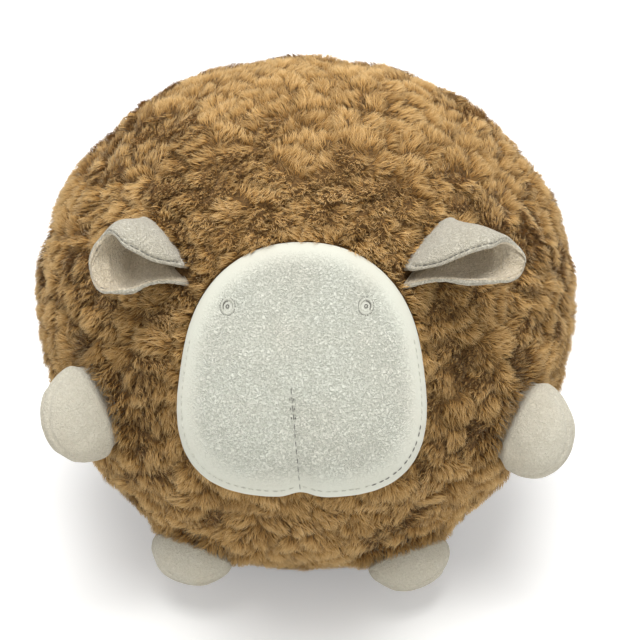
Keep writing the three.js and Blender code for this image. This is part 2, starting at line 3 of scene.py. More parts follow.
import bpy
import numpy as np
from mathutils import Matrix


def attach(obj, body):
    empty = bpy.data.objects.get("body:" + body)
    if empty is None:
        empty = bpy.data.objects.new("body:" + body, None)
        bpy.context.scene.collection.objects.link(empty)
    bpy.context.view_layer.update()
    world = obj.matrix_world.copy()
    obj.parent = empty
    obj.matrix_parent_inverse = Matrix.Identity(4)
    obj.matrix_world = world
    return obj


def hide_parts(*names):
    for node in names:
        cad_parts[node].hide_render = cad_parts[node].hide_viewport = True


# Sheep cushion: a ball of long-pile plush with a suedette face, ears, paws and feet.
# Sizes are in millimetres here and become metres where a mesh is made.

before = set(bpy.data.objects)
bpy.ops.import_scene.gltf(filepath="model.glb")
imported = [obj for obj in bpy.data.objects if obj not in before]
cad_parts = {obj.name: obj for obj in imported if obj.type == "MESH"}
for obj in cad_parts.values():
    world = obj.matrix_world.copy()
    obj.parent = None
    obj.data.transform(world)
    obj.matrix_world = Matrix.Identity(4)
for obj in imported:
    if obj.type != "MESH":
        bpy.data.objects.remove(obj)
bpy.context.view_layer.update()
scene = bpy.context.scene
scene.view_settings.view_transform = "Standard"


# Small tools

def linearColour(hexText):
    # an sRGB hex colour as linear red, green, blue, alpha
    parts = [int(hexText[i:i + 2], 16) / 255 for i in (1, 3, 5)]
    return tuple(c / 12.92 if c <= 0.04045 else ((c + 0.055) / 1.055) ** 2.4 for c in parts) + (1.0,)


def addNode(tree, kind, settings=None, inputs=None, stops=None):
    # one node with its settings; an input is a value, or a socket that is linked to it
    node = tree.nodes.new(kind)
    for name, value in (settings or {}).items():
        setattr(node, name, value)
    for name, value in (inputs or {}).items():
        if isinstance(value, bpy.types.NodeSocket):
            tree.links.new(value, node.inputs[name])
        else:
            node.inputs[name].default_value = value
    if stops:
        elements = node.color_ramp.elements
        while len(elements) < len(stops):
            elements.new(0.5)
        for element, (place, colour) in zip(elements, stops):
            element.position = place
            element.color = linearColour(colour)
    return node


def addMath(tree, operation, first, second):
    return addNode(tree, "ShaderNodeMath", {"operation": operation}, {0: first, 1: second}).outputs[0]


def addNoise(tree, scale, detail, distortion=0.0):
    # the strength of a noise that fills the piece's own space; scale is in cells per metre
    place = addNode(tree, "ShaderNodeTexCoord")
    noise = addNode(tree, "ShaderNodeTexNoise", {},
                    {"Vector": place.outputs["Object"], "Scale": scale, "Detail": detail,
                     "Distortion": distortion})
    return noise.outputs["Fac"]


def addBump(tree, strength, distance, height):
    bump = addNode(tree, "ShaderNodeBump", {}, {"Strength": strength, "Distance": distance, "Height": height})
    return bump.outputs[0]


def finishMaterial(tree, settings):
    # the one shader that every cloth and thread here has
    shader = addNode(tree, "ShaderNodeBsdfPrincipled", {}, settings)
    addNode(tree, "ShaderNodeOutputMaterial", {}, {"Surface": shader.outputs[0]})


def newMaterial(name):
    material = bpy.data.materials.new(name)
    material.use_nodes = True
    tree = material.node_tree
    tree.nodes.clear()
    return material, tree


def smoothStep(value, low, high):
    share = np.clip((value - low) / (high - low), 0, 1)
    return share * share * (3 - 2 * share)


def bell(value, width):
    return np.exp(-(value / width) ** 2)


def upwards(vector):
    return vector if vector[2] > 0 else -vector


def roundTurn(count):
    return np.arange(count) * 2 * math.pi / count


def unit(vectors):
    return vectors / np.maximum(np.linalg.norm(vectors, axis=-1, keepdims=True), 1e-12)


def softNoise(points, cell, seed):
    # smooth values between -1 and 1: random numbers on a lattice with that cell, blended by smoothstep
    table = np.random.default_rng(seed).uniform(-1, 1, (32, 32, 32))
    spots = np.asarray(points) / cell + 100
    base = np.floor(spots).astype(int)
    part = spots - base
    part = part * part * (3 - 2 * part)
    total = 0
    for dx in (0, 1):
        for dy in (0, 1):
            for dz in (0, 1):
                weight = (np.where(dx, part[..., 0], 1 - part[..., 0])
                          * np.where(dy, part[..., 1], 1 - part[..., 1])
                          * np.where(dz, part[..., 2], 1 - part[..., 2]))
                corner = table[(base[..., 0] + dx) % 32, (base[..., 1] + dy) % 32, (base[..., 2] + dz) % 32]
                total = total + weight * corner
    return total


def layeredNoise(points, layers, seed):
    # several noises on top of each other, each with its height and cell
    return sum(height * softNoise(points, cell, seed + k) for k, (height, cell) in enumerate(layers))


def meshObject(name, points, quads, triangles=None, materials=(), slots=None, uv=None, normals=None,
               smoothed=None):
    # points in millimetres; quads and triangles are rows of point numbers; smoothed tells where a nap is
    # worn flat
    quads = np.asarray(quads, int).reshape(-1, 4)
    triangles = np.asarray([] if triangles is None else triangles, int).reshape(-1, 3)
    corners = np.concatenate([quads.ravel(), triangles.ravel()]).astype(np.int32)
    sizes = np.concatenate([np.full(len(quads), 4), np.full(len(triangles), 3)])
    mesh = bpy.data.meshes.new(name)
    mesh.vertices.add(len(points))
    mesh.vertices.foreach_set("co", (np.asarray(points) * 0.001).astype(np.float32).ravel())
    mesh.loops.add(len(corners))
    mesh.loops.foreach_set("vertex_index", corners)
    mesh.polygons.add(len(sizes))
    mesh.polygons.foreach_set("loop_start", (np.cumsum(sizes) - sizes).astype(np.int32))
    mesh.polygons.foreach_set("use_smooth", np.full(len(sizes), True))
    for material in materials:
        mesh.materials.append(material)
    if slots is not None:
        mesh.polygons.foreach_set("material_index", np.asarray(slots).astype(np.int32))
    if uv is not None:
        layer = mesh.uv_layers.new(name="OFBake")
        layer.data.foreach_set("uv", uv[corners].astype(np.float32).ravel())
    if smoothed is not None:
        wear = mesh.attributes.new("smoothed", "FLOAT", "POINT")
        wear.data.foreach_set("value", smoothed.astype(np.float32).ravel())
    mesh.update(calc_edges=True)
    mesh.validate()
    if normals is not None:
        mesh.normals_split_custom_set_from_vertices(normals.astype(np.float32))
    piece = bpy.data.objects.new(name, mesh)
    scene.collection.objects.link(piece)
    return piece


def closedRings(rings):
    # a surface through a stack of closed rings, both ends shut by a fan, with its faces outwards
    rows, columns = rings.shape[:2]
    points = np.concatenate([rings.reshape(-1, 3), rings[:1].mean(1), rings[-1:].mean(1)])
    row, column = np.meshgrid(np.arange(rows - 1), np.arange(columns), indexing="ij")
    nextColumn = (column + 1) % columns
    quads = np.stack([row * columns + column, row * columns + nextColumn,
                      (row + 1) * columns + nextColumn, (row + 1) * columns + column], -1).reshape(-1, 4)
    around = np.arange(columns)
    after = (around + 1) % columns
    first = np.stack([np.full(columns, rows * columns), after, around], 1)
    lastRow = (rows - 1) * columns
    last = np.stack([np.full(columns, rows * columns + 1), lastRow + around, lastRow + after], 1)
    triangles = np.concatenate([first, last])
    a, b, c = (points[triangles[:, k]] for k in range(3))
    volume = np.einsum("ij,ij->", a, np.cross(b, c))
    for first3 in ((0, 1, 2), (0, 2, 3)):
        a, b, c = (points[quads[:, k]] for k in first3)
        volume += np.einsum("ij,ij->", a, np.cross(b, c))
    if volume < 0:
        quads = quads[:, ::-1]
        triangles = triangles[:, ::-1]
    return points, quads, triangles


def threadStitches(starts, ends, lift, radius, rings=5, columns=6):
    # short lengths of thread: each a capsule from its start to its end that arches up by lift
    starts, ends, lift = np.asarray(starts, float), np.asarray(ends, float), np.asarray(lift, float)
    count = len(starts)
    share = np.linspace(0, 1, rings)[None, :, None]
    line = starts[:, None] * (1 - share) + ends[:, None] * share + lift[:, None] * np.sin(math.pi * share)
    ahead = unit(ends - starts)
    side = unit(np.cross(ahead, unit(lift)))
    over = np.cross(side, ahead)
    angle = roundTurn(columns)
    girth = radius * np.sqrt(np.clip(1 - np.abs(2 * share - 1) ** 4, 0.03, 1))
    ring = side[:, None, None] * np.cos(angle)[:, None] + over[:, None, None] * np.sin(angle)[:, None]
    points = line[:, :, None] + girth[..., None] * ring
    quads, triangles = [], []
    size = rings * columns
    for i in range(rings - 1):
        for j in range(columns):
            k = (j + 1) % columns
            quads.append([i * columns + j, i * columns + k, (i + 1) * columns + k, (i + 1) * columns + j])
    for j in range(1, columns - 1):
        triangles.append([0, j + 1, j])
        triangles.append([(rings - 1) * columns, (rings - 1) * columns + j, (rings - 1) * columns + j + 1])
    offsets = (np.arange(count) * size)[:, None, None]
    return (points.reshape(-1, 3), (np.array(quads)[None] + offsets).reshape(-1, 4),
            (np.array(triangles)[None] + offsets).reshape(-1, 3))


def joinParts(parts):
    # several sets of points and faces as one, with each part's material number on its faces
    points, quads, triangles, quadSlots, triangleSlots = [], [], [], [], []
    offset = 0
    for spots, four, three, slot in parts:
        points.append(spots)
        quads.append(np.asarray(four) + offset)
        triangles.append(np.asarray(three) + offset)
        quadSlots.append(np.full(len(four), slot))
        triangleSlots.append(np.full(len(three), slot))
        offset += len(spots)
    return (np.concatenate(points), np.concatenate(quads), np.concatenate(triangles),
            np.concatenate(quadSlots + triangleSlots))


def finishPiece(piece, body, slot, *nodes):
    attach(piece, body)
    if nodes:
        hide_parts(*nodes)


def threadPiece(name, body, parts, threads, *nodes):
    # several rows of stitches as one piece; slot 0 is the pale thread, 1 the dark one
    points, quads, triangles, slots = joinParts(parts)
    finishPiece(meshObject(name, points, quads, triangles, threads, slots), body, "thread", *nodes)


# Camera and studio: the photograph's angle, soft light from above in front, white surroundings

camera = {
    "aim": (0.0, 0.0, 152.5),
    "distance": 735.0,
    "elevation": 24.0,
    "azimuth": 0.9,
    "lens": 62.18,
    "sensor": 36,
    "shiftX": 0.0222,
    "shiftY": -0.0167,
}
studio = {
    "worldGrey": 0.5,
    "lamps": {  # power in watts, then size and place in metres
        "keyLamp": (22.0, 1.1, (-0.1, -0.85, 2.1)),
        "topLamp": (20.0, 1.3, (0.1, -0.2, 2.2)),
        "fillLamp": (5.0, 1.6, (1.2, -1.8, 0.9)),
    },
    "lampAim": (0, 0, 0.16),
    "floorColour": "#f4f4f2",
    "floorHalf": 8000.0,
    "floorLift": (0.3, 1.0),  # near the cushion, and far off
    "floorLiftFrom": (0.4, 1.3),  # metres off at which these two hold
}


def addCamera():
    turn, rise = math.radians(camera["azimuth"]), math.radians(camera["elevation"])
    back = np.array([math.sin(turn) * math.cos(rise), -math.cos(turn) * math.cos(rise), math.sin(rise)])
    place = (np.array(camera["aim"]) + back * camera["distance"]) * 0.001
    data = bpy.data.cameras.new("photoCamera")
    data.lens = camera["lens"]
    data.sensor_width = camera["sensor"]
    data.shift_x = camera["shiftX"]
    data.shift_y = camera["shiftY"]
    data.clip_start = 0.01
    data.clip_end = 50
    viewer = bpy.data.objects.new("photoCamera", data)
    viewer.location = place
    viewer.rotation_euler = (math.pi / 2 - rise, 0, turn)
    scene.collection.objects.link(viewer)
    scene.camera = viewer


def addLamp(name, power, size, place, aim):
    data = bpy.data.lights.new(name, "AREA")
    data.shape = "DISK"
    data.size = size
    data.energy = power
    lamp = bpy.data.objects.new(name, data)
    lamp.location = place
    direction = np.array(place) - np.array(aim)
    flat = math.hypot(direction[0], direction[1])
    lamp.rotation_euler = (math.atan2(flat, direction[2]), 0, math.atan2(direction[0], -direction[1]))
    scene.collection.objects.link(lamp)


def addStudio():
    world = bpy.data.worlds.new("whiteStudio")
    scene.world = world
    world.use_nodes = True
    tree = world.node_tree
    tree.nodes.clear()
    rays = addNode(tree, "ShaderNodeLightPath")
    seen = addMath(tree, "MAXIMUM", rays.outputs["Is Camera Ray"], rays.outputs["Is Glossy Ray"])
    seen = addMath(tree, "MAXIMUM", seen, rays.outputs["Is Transmission Ray"])
    level = addNode(tree, "ShaderNodeMapRange", {},
                    {"Value": seen, "To Min": studio["worldGrey"], "To Max": 1.0})
    light = addNode(tree, "ShaderNodeBackground", {}, {"Color": (1, 1, 1, 1), "Strength": level.outputs[0]})
    addNode(tree, "ShaderNodeOutputWorld", {}, {"Surface": light.outputs[0]})
    for name, (power, size, place) in studio["lamps"].items():
        addLamp(name, power, size, place, studio["lampAim"])

    # pale seamless board; the camera sees it lifted to white, the more so far off, with the shadow kept
    material, tree = newMaterial("paleBoard")
    rays = addNode(tree, "ShaderNodeLightPath")
    board = addNode(tree, "ShaderNodeBsdfPrincipled", {},
                    {"Base Color": linearColour(studio["floorColour"]), "Roughness": 0.9})
    place = addNode(tree, "ShaderNodeTexCoord")
    away = addNode(tree, "ShaderNodeVectorMath", {"operation": "LENGTH"}, {0: place.outputs["Object"]})
    (near, far), (start, end) = studio["floorLift"], studio["floorLiftFrom"]
    level = addNode(tree, "ShaderNodeMapRange", {},
                    {"Value": away.outputs["Value"], "From Min": start, "From Max": end,
                     "To Min": near, "To Max": far})
    lift = addMath(tree, "MULTIPLY", rays.outputs["Is Camera Ray"], level.outputs[0])
    glow = addNode(tree, "ShaderNodeEmission", {}, {"Color": (1, 1, 1, 1), "Strength": lift})
    both = addNode(tree, "ShaderNodeAddShader", {}, {0: board.outputs[0], 1: glow.outputs[0]})
    addNode(tree, "ShaderNodeOutputMaterial", {}, {"Surface": both.outputs[0]})
    size = studio["floorHalf"]
    corners = np.array([[-size, -size, 0], [size, -size, 0], [size, size, 0], [-size, size, 0]])
    floor = meshObject("floorBoard", corners, [[0, 1, 2, 3]], materials=[material])


# Materials

cloth = {
    # the nap where it stands, in its furrows, and where hands have rubbed it
    "face": ("#ddded1", "#b4b5a7", "#dad5c6"),
    # painted light: the ears, paws, feet and tail have the face's own cloth, here in a warmer tone that
    # stands for light bounced off the brown pile
    "limbs": ("#d4cfbf", "#b4ad9a", "#d0c5b0"),
    # painted light: the ears' lining is the same cloth, made lighter and warmer to stand for light bounced
    # off the pile into the ear's shaded hollow
    "lining": ("#e4d8c2", "#cbbca0", "#decbac"),
    "suedeGrain": 1.0,  # mm from one ridge of the suede to the next
    "blotch": 26.0,  # mm, hand marks in the nap
}


def suedetteMaterial(name, standing, furrow, handled):
    # brushed polyester suedette: matt, a pale sheen at grazing angles, a worm-like nap in short ridges
    material, tree = newMaterial(name)
    worn = addNode(tree, "ShaderNodeAttribute", {"attribute_name": "smoothed"})
    grain = addNoise(tree, 1000 / cloth["suedeGrain"], 1.0, 0.9)
    marks = addNoise(tree, 1000 / cloth["blotch"], 2.0, 0.4)
    ridges = addNode(tree, "ShaderNodeMapRange", {}, {"Value": grain, "From Min": 0.32, "From Max": 0.66})
    nap = addNode(tree, "ShaderNodeMix", {"data_type": "FLOAT"},
                  {0: worn.outputs["Fac"], 2: ridges.outputs[0], 3: 0.72})
    marksShare = addNode(tree, "ShaderNodeMapRange", {},
                         {"Value": marks, "From Min": 0.35, "From Max": 0.7, "To Max": 0.5})
    pale = addNode(tree, "ShaderNodeMix", {"data_type": "RGBA"},
                   {0: marksShare.outputs[0], 6: linearColour(standing), 7: linearColour(handled)})
    colour = addNode(tree, "ShaderNodeMix", {"data_type": "RGBA"},
                     {0: nap.outputs[0], 6: linearColour(furrow), 7: pale.outputs[2]})
    raised = addBump(tree, 0.9, 0.0008, nap.outputs[0])
    finishMaterial(tree, {"Base Color": colour.outputs[2], "Roughness": 0.88, "Normal": raised,
                          "Sheen Weight": 0.25, "Sheen Roughness": 0.4, "Specular IOR Level": 0.2})
    return material


def plushMaterial(name):
    # long-pile polyester plush: matt fibres, dark and deep at their roots, which is partly their own tone and
    # partly painted shade from deep in the pile, and bleached at their tips
    material, tree = newMaterial(name)
    lane = addNode(tree, "ShaderNodeUVMap", {"uv_map": "OFBake"})
    parts = addNode(tree, "ShaderNodeSeparateXYZ", {}, {0: lane.outputs[0]})
    # from root to tip; the dark root end is partly painted shade
    along = addNode(tree, "ShaderNodeValToRGB", {}, {0: parts.outputs[1]},
                    [(0.0, "#5c3e1a"), (0.3, "#ac824a"), (0.65, "#dcb880"), (1.0, "#f3dab0")])
    # tone of each fibre, whose darker end also carries the painted shade in the creases
    tint = addNode(tree, "ShaderNodeValToRGB", {}, {0: parts.outputs[0]},
                   [(0.0, "#9c8766"), (0.5, "#eadfc8"), (1.0, "#fffaf0")])
    colour = addNode(tree, "ShaderNodeMix", {"data_type": "RGBA", "blend_type": "MULTIPLY"},
                     {0: 1.0, 6: along.outputs[0], 7: tint.outputs[0]})
    finishMaterial(tree, {"Base Color": colour.outputs[2], "Roughness": 0.8, "Sheen Weight": 0.4,
                          "Sheen Roughness": 0.45, "Sheen Tint": linearColour("#f3dfba"),
                          "Specular IOR Level": 0.12})
    return material


def backingMaterial(name):
    # the dense lower pile on its knitted backing, seen only deep between the fibres: dull, dark brown, partly
    # its own colour and partly painted shade of the deep pile
    material, tree = newMaterial(name)
    knit = addNoise(tree, 900.0, 2.0)
    colour = addNode(tree, "ShaderNodeValToRGB", {}, {0: knit}, [(0.3, "#4c361a"), (0.7, "#7a5a30")])
    raised = addBump(tree, 0.6, 0.001, knit)
    finishMaterial(tree, {"Base Color": colour.outputs[0], "Roughness": 1.0, "Normal": raised})
    return material


def threadMaterial(name, light, dark):
    # embroidery thread: a fine mottle stands for its twist, with a soft silky light
    material, tree = newMaterial(name)
    twist = addNoise(tree, 2600.0, 1.0)
    colour = addNode(tree, "ShaderNodeValToRGB", {}, {0: twist}, [(0.3, dark), (0.7, light)])
    raised = addBump(tree, 0.4, 0.0002, twist)
    finishMaterial(tree, {"Base Color": colour.outputs[0], "Roughness": 0.5, "Normal": raised,
                          "Sheen Weight": 0.2})
    return material


# Ball

ball = {
    "radius": 174.0,  # to the outside of the pile
    "crownHeight": 153.0,
    "middleHeight": 165.0,
    "seatDepth": 179.0,
    "crownFullness": 2.03,
    "seatFullness": 2.04,
    "seatSoftness": 10.0,
    "seatCut": 0.5,
    "baseSeam": 150.8,  # degrees from the top to the base panel's seam
    "lumpDip": 3.4,  # how far the pile dips between its large lumps
    "lumpPitch": 62.0,
    "lumpClear": 30.0,  # the pile is level this near a sewn root
    "lumpEnd": 138.0,  # degrees down to where the lumps fade into the underside
}


def settle(height, floor):
    # a height below the soft range is rounded into the flat that the cushion rests on
    soft = ball["seatSoftness"]
    above = height - floor
    rounded = np.where(above < -soft, 0, (above + soft) ** 2 / (4 * soft))
    return floor + np.where(above > soft, above - ball["seatCut"], np.maximum(rounded - ball["seatCut"], 0))


def ballPlace(directions, depth):
    # a superellipse spun round the upright axis: reach grows as sine, rise as cosine of the angle
    # from the top, each to the power 2 / fullness, and the underside is settled flat
    directions = unit(directions)
    flat = np.hypot(directions[..., 0], directions[..., 1])
    upright = directions[..., 2]
    above = upright > 0
    power = 2 / np.where(above, ball["crownFullness"], ball["seatFullness"])
    reach = (ball["radius"] - depth) * flat ** power
    rise = np.where(above, ball["crownHeight"] - depth, depth - ball["seatDepth"]) * np.abs(upright) ** power
    turned = directions[..., :2] / np.maximum(flat, 1e-9)[..., None]
    height = settle(ball["middleHeight"] + rise, depth)
    return np.concatenate([turned * reach[..., None], height[..., None]], -1)


def polarDirection(azimuth, polar):
    # azimuth 0 is the sheep's front and grows towards its left, polar 0 is the top; in radians
    azimuth, polar = np.broadcast_arrays(azimuth, polar)
    return np.stack([np.sin(polar) * np.sin(azimuth), -np.sin(polar) * np.cos(azimuth), np.cos(polar)], -1)


def ballNormal(azimuth, polar):
    step = 0.01
    across = (ballPlace(polarDirection(azimuth + step, polar), 0.0)
              - ballPlace(polarDirection(azimuth - step, polar), 0.0))
    down = (ballPlace(polarDirection(azimuth, polar + step), 0.0)
            - ballPlace(polarDirection(azimuth, polar - step), 0.0))
    return unit(np.cross(down, across))


# Face

face = {
    "halfWidth": 61.5,
    "halfLength": 64.5,
    "taper": 0.125,
    "browRoundness": 2.3,
    "chinRoundness": 3.0,
    "middle": (0.8, -172.7, 196.7),
    "tilt": 29.7,
    "browCrown": 13.0,
    "muzzleCrown": 25.0,
    "domePowers": (2.6, 0.6),  # of the share of the way out, and of the whole dome
    "chinNotch": 2.6,
    "dartLength": 55.0,
    "dartPinch": 3.2,
    "dartWidth": 7.0,
    "gussetDraw": 0.1,
    "reach": 95.0,
    "rimTurn": ((0.992, -0.5), (0.985, -1.2), (0.992, -2.0), (1.0, -3.2)),  # shares of the rim, and heights
    "gussetRun": (6, 40, 14),  # where the chin panel's rings begin and end behind the rim, and their count
    "pucker": (0.4, 52, 12),  # height, count round the face, and mm over which it fades
    "rings": 96,
    "columns": 288,
    "eyes": {"left": (31.8, 30.6), "right": (-37.3, 30.2)},
    "dartSlant": 5.0,  # how far the seam's top lies to the sheep's right
    "clothLift": 0.4,  # of the finished cloth over the stuffed form
    "filling": ((0.9, 26.0), (0.35, 11.0)),  # its lumps: height and cell
    "eyeDent": (1.5, 8.0),  # depth and width
    "seamGroove": (0.8, 1.1),
    "rimGathers": (0.45, 46, 0.055),  # height, count round the face, and reach as a share of the way in
}
faceMiddle = np.array(face["middle"])
faceTilt = math.radians(face["tilt"])
faceAcross = np.array([1.0, 0, 0])
faceUp = np.array([0.0, math.sin(faceTilt), math.cos(faceTilt)])
faceOut = np.array([0.0, -math.cos(faceTilt), math.sin(faceTilt)])
dartTop = face["dartLength"] - face["halfLength"]


def faceOutline(turn):
    # a superellipse whose exponent grows from brow to chin, tapered to the brow, notched at the chin
    cosine, sine = np.cos(turn), np.sin(turn)
    browShare = (1 + cosine) / 2
    roundness = face["chinRoundness"] + (face["browRoundness"] - face["chinRoundness"]) * browShare
    radius = (np.abs(sine / face["halfWidth"]) ** roundness
              + np.abs(cosine / face["halfLength"]) ** roundness) ** (-1 / roundness)
    x = radius * sine * (1 - face["taper"] * cosine)
    notch = np.where(cosine < 0, face["chinNotch"] * bell(x, face["dartWidth"]), 0)
    return x, radius * cosine + notch


def facePlace(x, along, height):
    x, along, height = (np.asarray(v, float)[..., None] for v in np.broadcast_arrays(x, along, height))
    return faceMiddle + faceAcross * x + faceUp * along + faceOut * height


def faceHeight(x, along, share):
    # the stuffed front: a dome, fuller at the muzzle than at the brow, pinched along the dart
    browShare = smoothStep(along, -face["halfLength"], face["halfLength"])
    crown = face["muzzleCrown"] + (face["browCrown"] - face["muzzleCrown"]) * browShare
    spread, power = face["domePowers"]
    dome = (1 - np.clip(share, 0, 1) ** spread) ** power
    dart = smoothStep(-along, -dartTop, face["halfLength"])
    pinch = face["dartPinch"] * dart * bell(x, face["dartWidth"]) * np.minimum(1, 3 * dome)
    return crown * dome - pinch, dome


def faceShare(x, along):
    # how far out a place is between the middle of the face, 0, and its rim, 1
    turn = np.arctan2(x, along)
    for _ in range(3):  # the taper moves the rim's point sideways, so the turn is corrected
        rimX, rimAlong = faceOutline(turn)
        turn = turn + np.arctan2(x, along) - np.arctan2(rimX, rimAlong)
    rimX, rimAlong = faceOutline(turn)
    return np.hypot(x, along) / np.hypot(rimX, rimAlong)


def dartLine(along):
    # x of the dart's seam, which leans a little
    return -face["dartSlant"] * np.clip((along + face["halfLength"]) / (dartTop + face["halfLength"]), 0, 1.2)


def faceDetail(x, along, share, dome):
    # dents round the eyes, the seam's groove, soft lumps of filling and gathers along the lower rim
    spot = np.stack(np.broadcast_arrays(x, along, 0 * x), -1)
    detail = layeredNoise(spot, face["filling"], 3) * np.minimum(1, 1.5 * dome)
    dent, dentWidth = face["eyeDent"]
    for eyeX, eyeAlong in face["eyes"].values():
        away = np.hypot(x - eyeX, along - eyeAlong)
        detail = detail - dent * bell(away, dentWidth)
    seam = smoothStep(-along, -dartTop - 2, -dartTop + 6)
    groove, grooveWidth = face["seamGroove"]
    detail = detail - groove * seam * bell(x - dartLine(along), grooveWidth)
    turn = np.arctan2(x, along)
    lower = smoothStep(-np.cos(turn), -0.3, 0.5)
    gather, count, reach = face["rimGathers"]
    wave = np.sin(turn * count + 3.0 * softNoise(spot, 14.0, 5))
    return detail + gather * lower * wave * bell(1 - share, reach)


def faceSpot(x, along, lift=0.0):
    # a place on the finished front with its outward direction
    x, along = np.asarray(x, float), np.asarray(along, float)

    def surface(dx, dy):
        share = faceShare(x + dx, along + dy)
        height, dome = faceHeight(x + dx, along + dy, share)
        height = height + faceDetail(x + dx, along + dy, share, dome)
        return facePlace(x + dx, along + dy, height + face["clothLift"])

    across = surface(0.4, 0) - surface(-0.4, 0)
    up = surface(0, 0.4) - surface(0, -0.4)
    out = unit(np.cross(across, up))
    return surface(0, 0) + out * lift, out


def addFace(velour):
    turn = roundTurn(face["columns"])
    share = np.sin(np.arange(1, face["rings"] + 1) / face["rings"] * math.pi / 2)[:, None]
    rimX, rimAlong = faceOutline(turn)
    x, along = rimX * share, rimAlong * share
    height, dome = faceHeight(x, along, share)
    height = height + faceDetail(x, along, share, dome) + face["clothLift"]
    front = facePlace(x, along, height)
    # the rim turns in to the seam, and the chin panel goes back from there into the ball
    backRows = []
    for draw, lift in face["rimTurn"]:
        backRows.append(facePlace(rimX * draw, rimAlong * draw, lift))
    high, count, fade = face["pucker"]
    for back in np.linspace(*face["gussetRun"]):
        draw = 1 - face["gussetDraw"] * back / face["reach"]
        pucker = high * np.sin(turn * count) * math.exp(-back / fade)
        backRows.append(facePlace(rimX * draw + pucker * np.sin(turn),
                                  rimAlong * draw + pucker * np.cos(turn), -back))
    rings = np.concatenate([front, np.array(backRows)])
    worn = np.concatenate([np.broadcast_to(smoothStep(share, 0.74, 0.97), x.shape).ravel(),
                           np.ones(len(backRows) * len(turn)), [0.0, 1.0]])
    points, quads, triangles = closedRings(rings)
    piece = meshObject("face_cover", points, quads, triangles, [velour], smoothed=worn)
    finishPiece(piece, "cushion", "velour", "face_panel", "chin_panel", "face_filling")


# Embroidered eyes and the stitching on the muzzle

eye = {
    "radius": 5.0,
    "inner": 3.0,
    "stitches": 44,
    "threadRadius": 0.38,
    "rise": 0.4,
    "squash": 0.8,
    "lean": 18.0,
    "ticks": 30,
    "knotThreads": 9,
    "bedPoints": 32,
    "bed": ((5.2, -0.5), (5.3, 0.0), (4.3, 0.3), (3.0, 0.05), (1.0, 0.25)),  # rings of it: radius and lift
}


def addEye(word, side, pale, dark):
    centre, out = faceSpot(*face["eyes"][word])
    across = unit(np.cross(faceUp, out))
    up = np.cross(out, across)
    rng = np.random.default_rng(20 + side)
    lean = math.radians(eye["lean"]) * side

    def place(radius, angle, lift):
        # an upright oval, leaning outwards
        flatX = radius * np.sin(angle) * eye["squash"]
        flatY = radius * np.cos(angle)
        turnedX = flatX * math.cos(lean) + flatY * math.sin(lean)
        turnedY = flatY * math.cos(lean) - flatX * math.sin(lean)
        return centre + across * turnedX[:, None] + up * turnedY[:, None] + out * np.reshape(lift, (-1, 1))

    def row(angle, start, finish, lift, rise, radius):
        count = len(angle)
        return threadStitches(place(np.full(count, start), angle, np.full(count, lift)),
                              place(np.full(count, finish), angle + 0.04, np.full(count, lift)),
                              np.tile(out * rise, (count, 1)), radius)

    # the satin ring, then short dark ticks between its ends, most of them below; their dark thread stands
    # partly for shade in the gaps under the raised ring: painted shade
    count = eye["stitches"]
    angle = roundTurn(count) + rng.normal(0, 0.02, count)
    parts = [(*row(angle, eye["inner"], eye["radius"], 0.05, eye["rise"], eye["threadRadius"]), 0)]
    ticks = np.linspace(0.2 * math.pi, 1.95 * math.pi, eye["ticks"]) + rng.normal(0, 0.05, eye["ticks"])
    parts.append((*row(ticks, eye["radius"] - 0.5, eye["radius"] + 0.3, 0.1, 0.3, 0.2), 1))
    knot, bedPoints = eye["knotThreads"], eye["bedPoints"]
    # a dark arc inside the ring, whose thread stands for the raised ring's shade on the middle: painted shade
    crescent = np.linspace(-0.1 * math.pi, 0.55 * math.pi, knot) * side + 0.02
    parts.append((*row(crescent, eye["inner"] - 0.6, eye["inner"] + 0.2, 0.3, 0.3, 0.2), 1))
    # the small ring in the middle, of one thread laid round
    turns = roundTurn(knot)
    parts.append((*threadStitches(place(np.full(knot, 1.0), turns, np.full(knot, 0.35)),
                                  place(np.full(knot, 1.0), turns + 0.62, np.full(knot, 0.35)),
                                  np.tile(out * 0.1, (knot, 1)), 0.3), 1))
    bed = np.stack([place(np.full(bedPoints, radius), roundTurn(bedPoints), np.full(bedPoints, lift))
                    for radius, lift in eye["bed"]])
    parts.append((*closedRings(bed), 0))
    threadPiece("eye_" + word + "_embroidery", "cushion", parts, [pale, dark], "eye_" + word)


muzzle = {
    "pitch": 3.85,
    "stitch": 2.6,
    "rimInset": 0.05,
    "dartPitch": 4.3,
    "dartStitch": 3.3,
    "tacks": (6.0, 10.5, 15.0),  # below the dart's top
    "tackLength": 1.3,
    "tackAside": 1.0,
    "threadShows": (37, -24),  # the rim's stitches are dark beyond this x, and below this along the face
}


def addDartStitches(pale, dark):
    rng = np.random.default_rng(8)
    # three pairs of tacking stitches beside the seam, and a single row of longer, uneven ones down it
    paired = dartTop - np.array(muzzle["tacks"])
    parts = []
    for side in (-1, 1):
        beside = dartLine(paired) + side * muzzle["tackAside"]
        start, out = faceSpot(beside, paired, 0.02)
        end, _ = faceSpot(beside, paired - muzzle["tackLength"], 0.02)
        parts.append((*threadStitches(start, end, out * 0.2, 0.3), 1))
    fine = np.arange(dartTop - 0.5, -face["halfLength"] + 4.5, -muzzle["dartPitch"])
    fine = fine + rng.normal(0, 0.25, len(fine))
    start, out = faceSpot(dartLine(fine), fine, 0.1)
    fineEnd = fine - muzzle["dartStitch"]
    end, _ = faceSpot(dartLine(fineEnd), fineEnd, 0.1)
    parts.append((*threadStitches(start, end, out * 0.15, 0.2), 1))
    threadPiece("dart_stitches", "cushion", parts, [pale, dark], "muzzle_dart_thread")


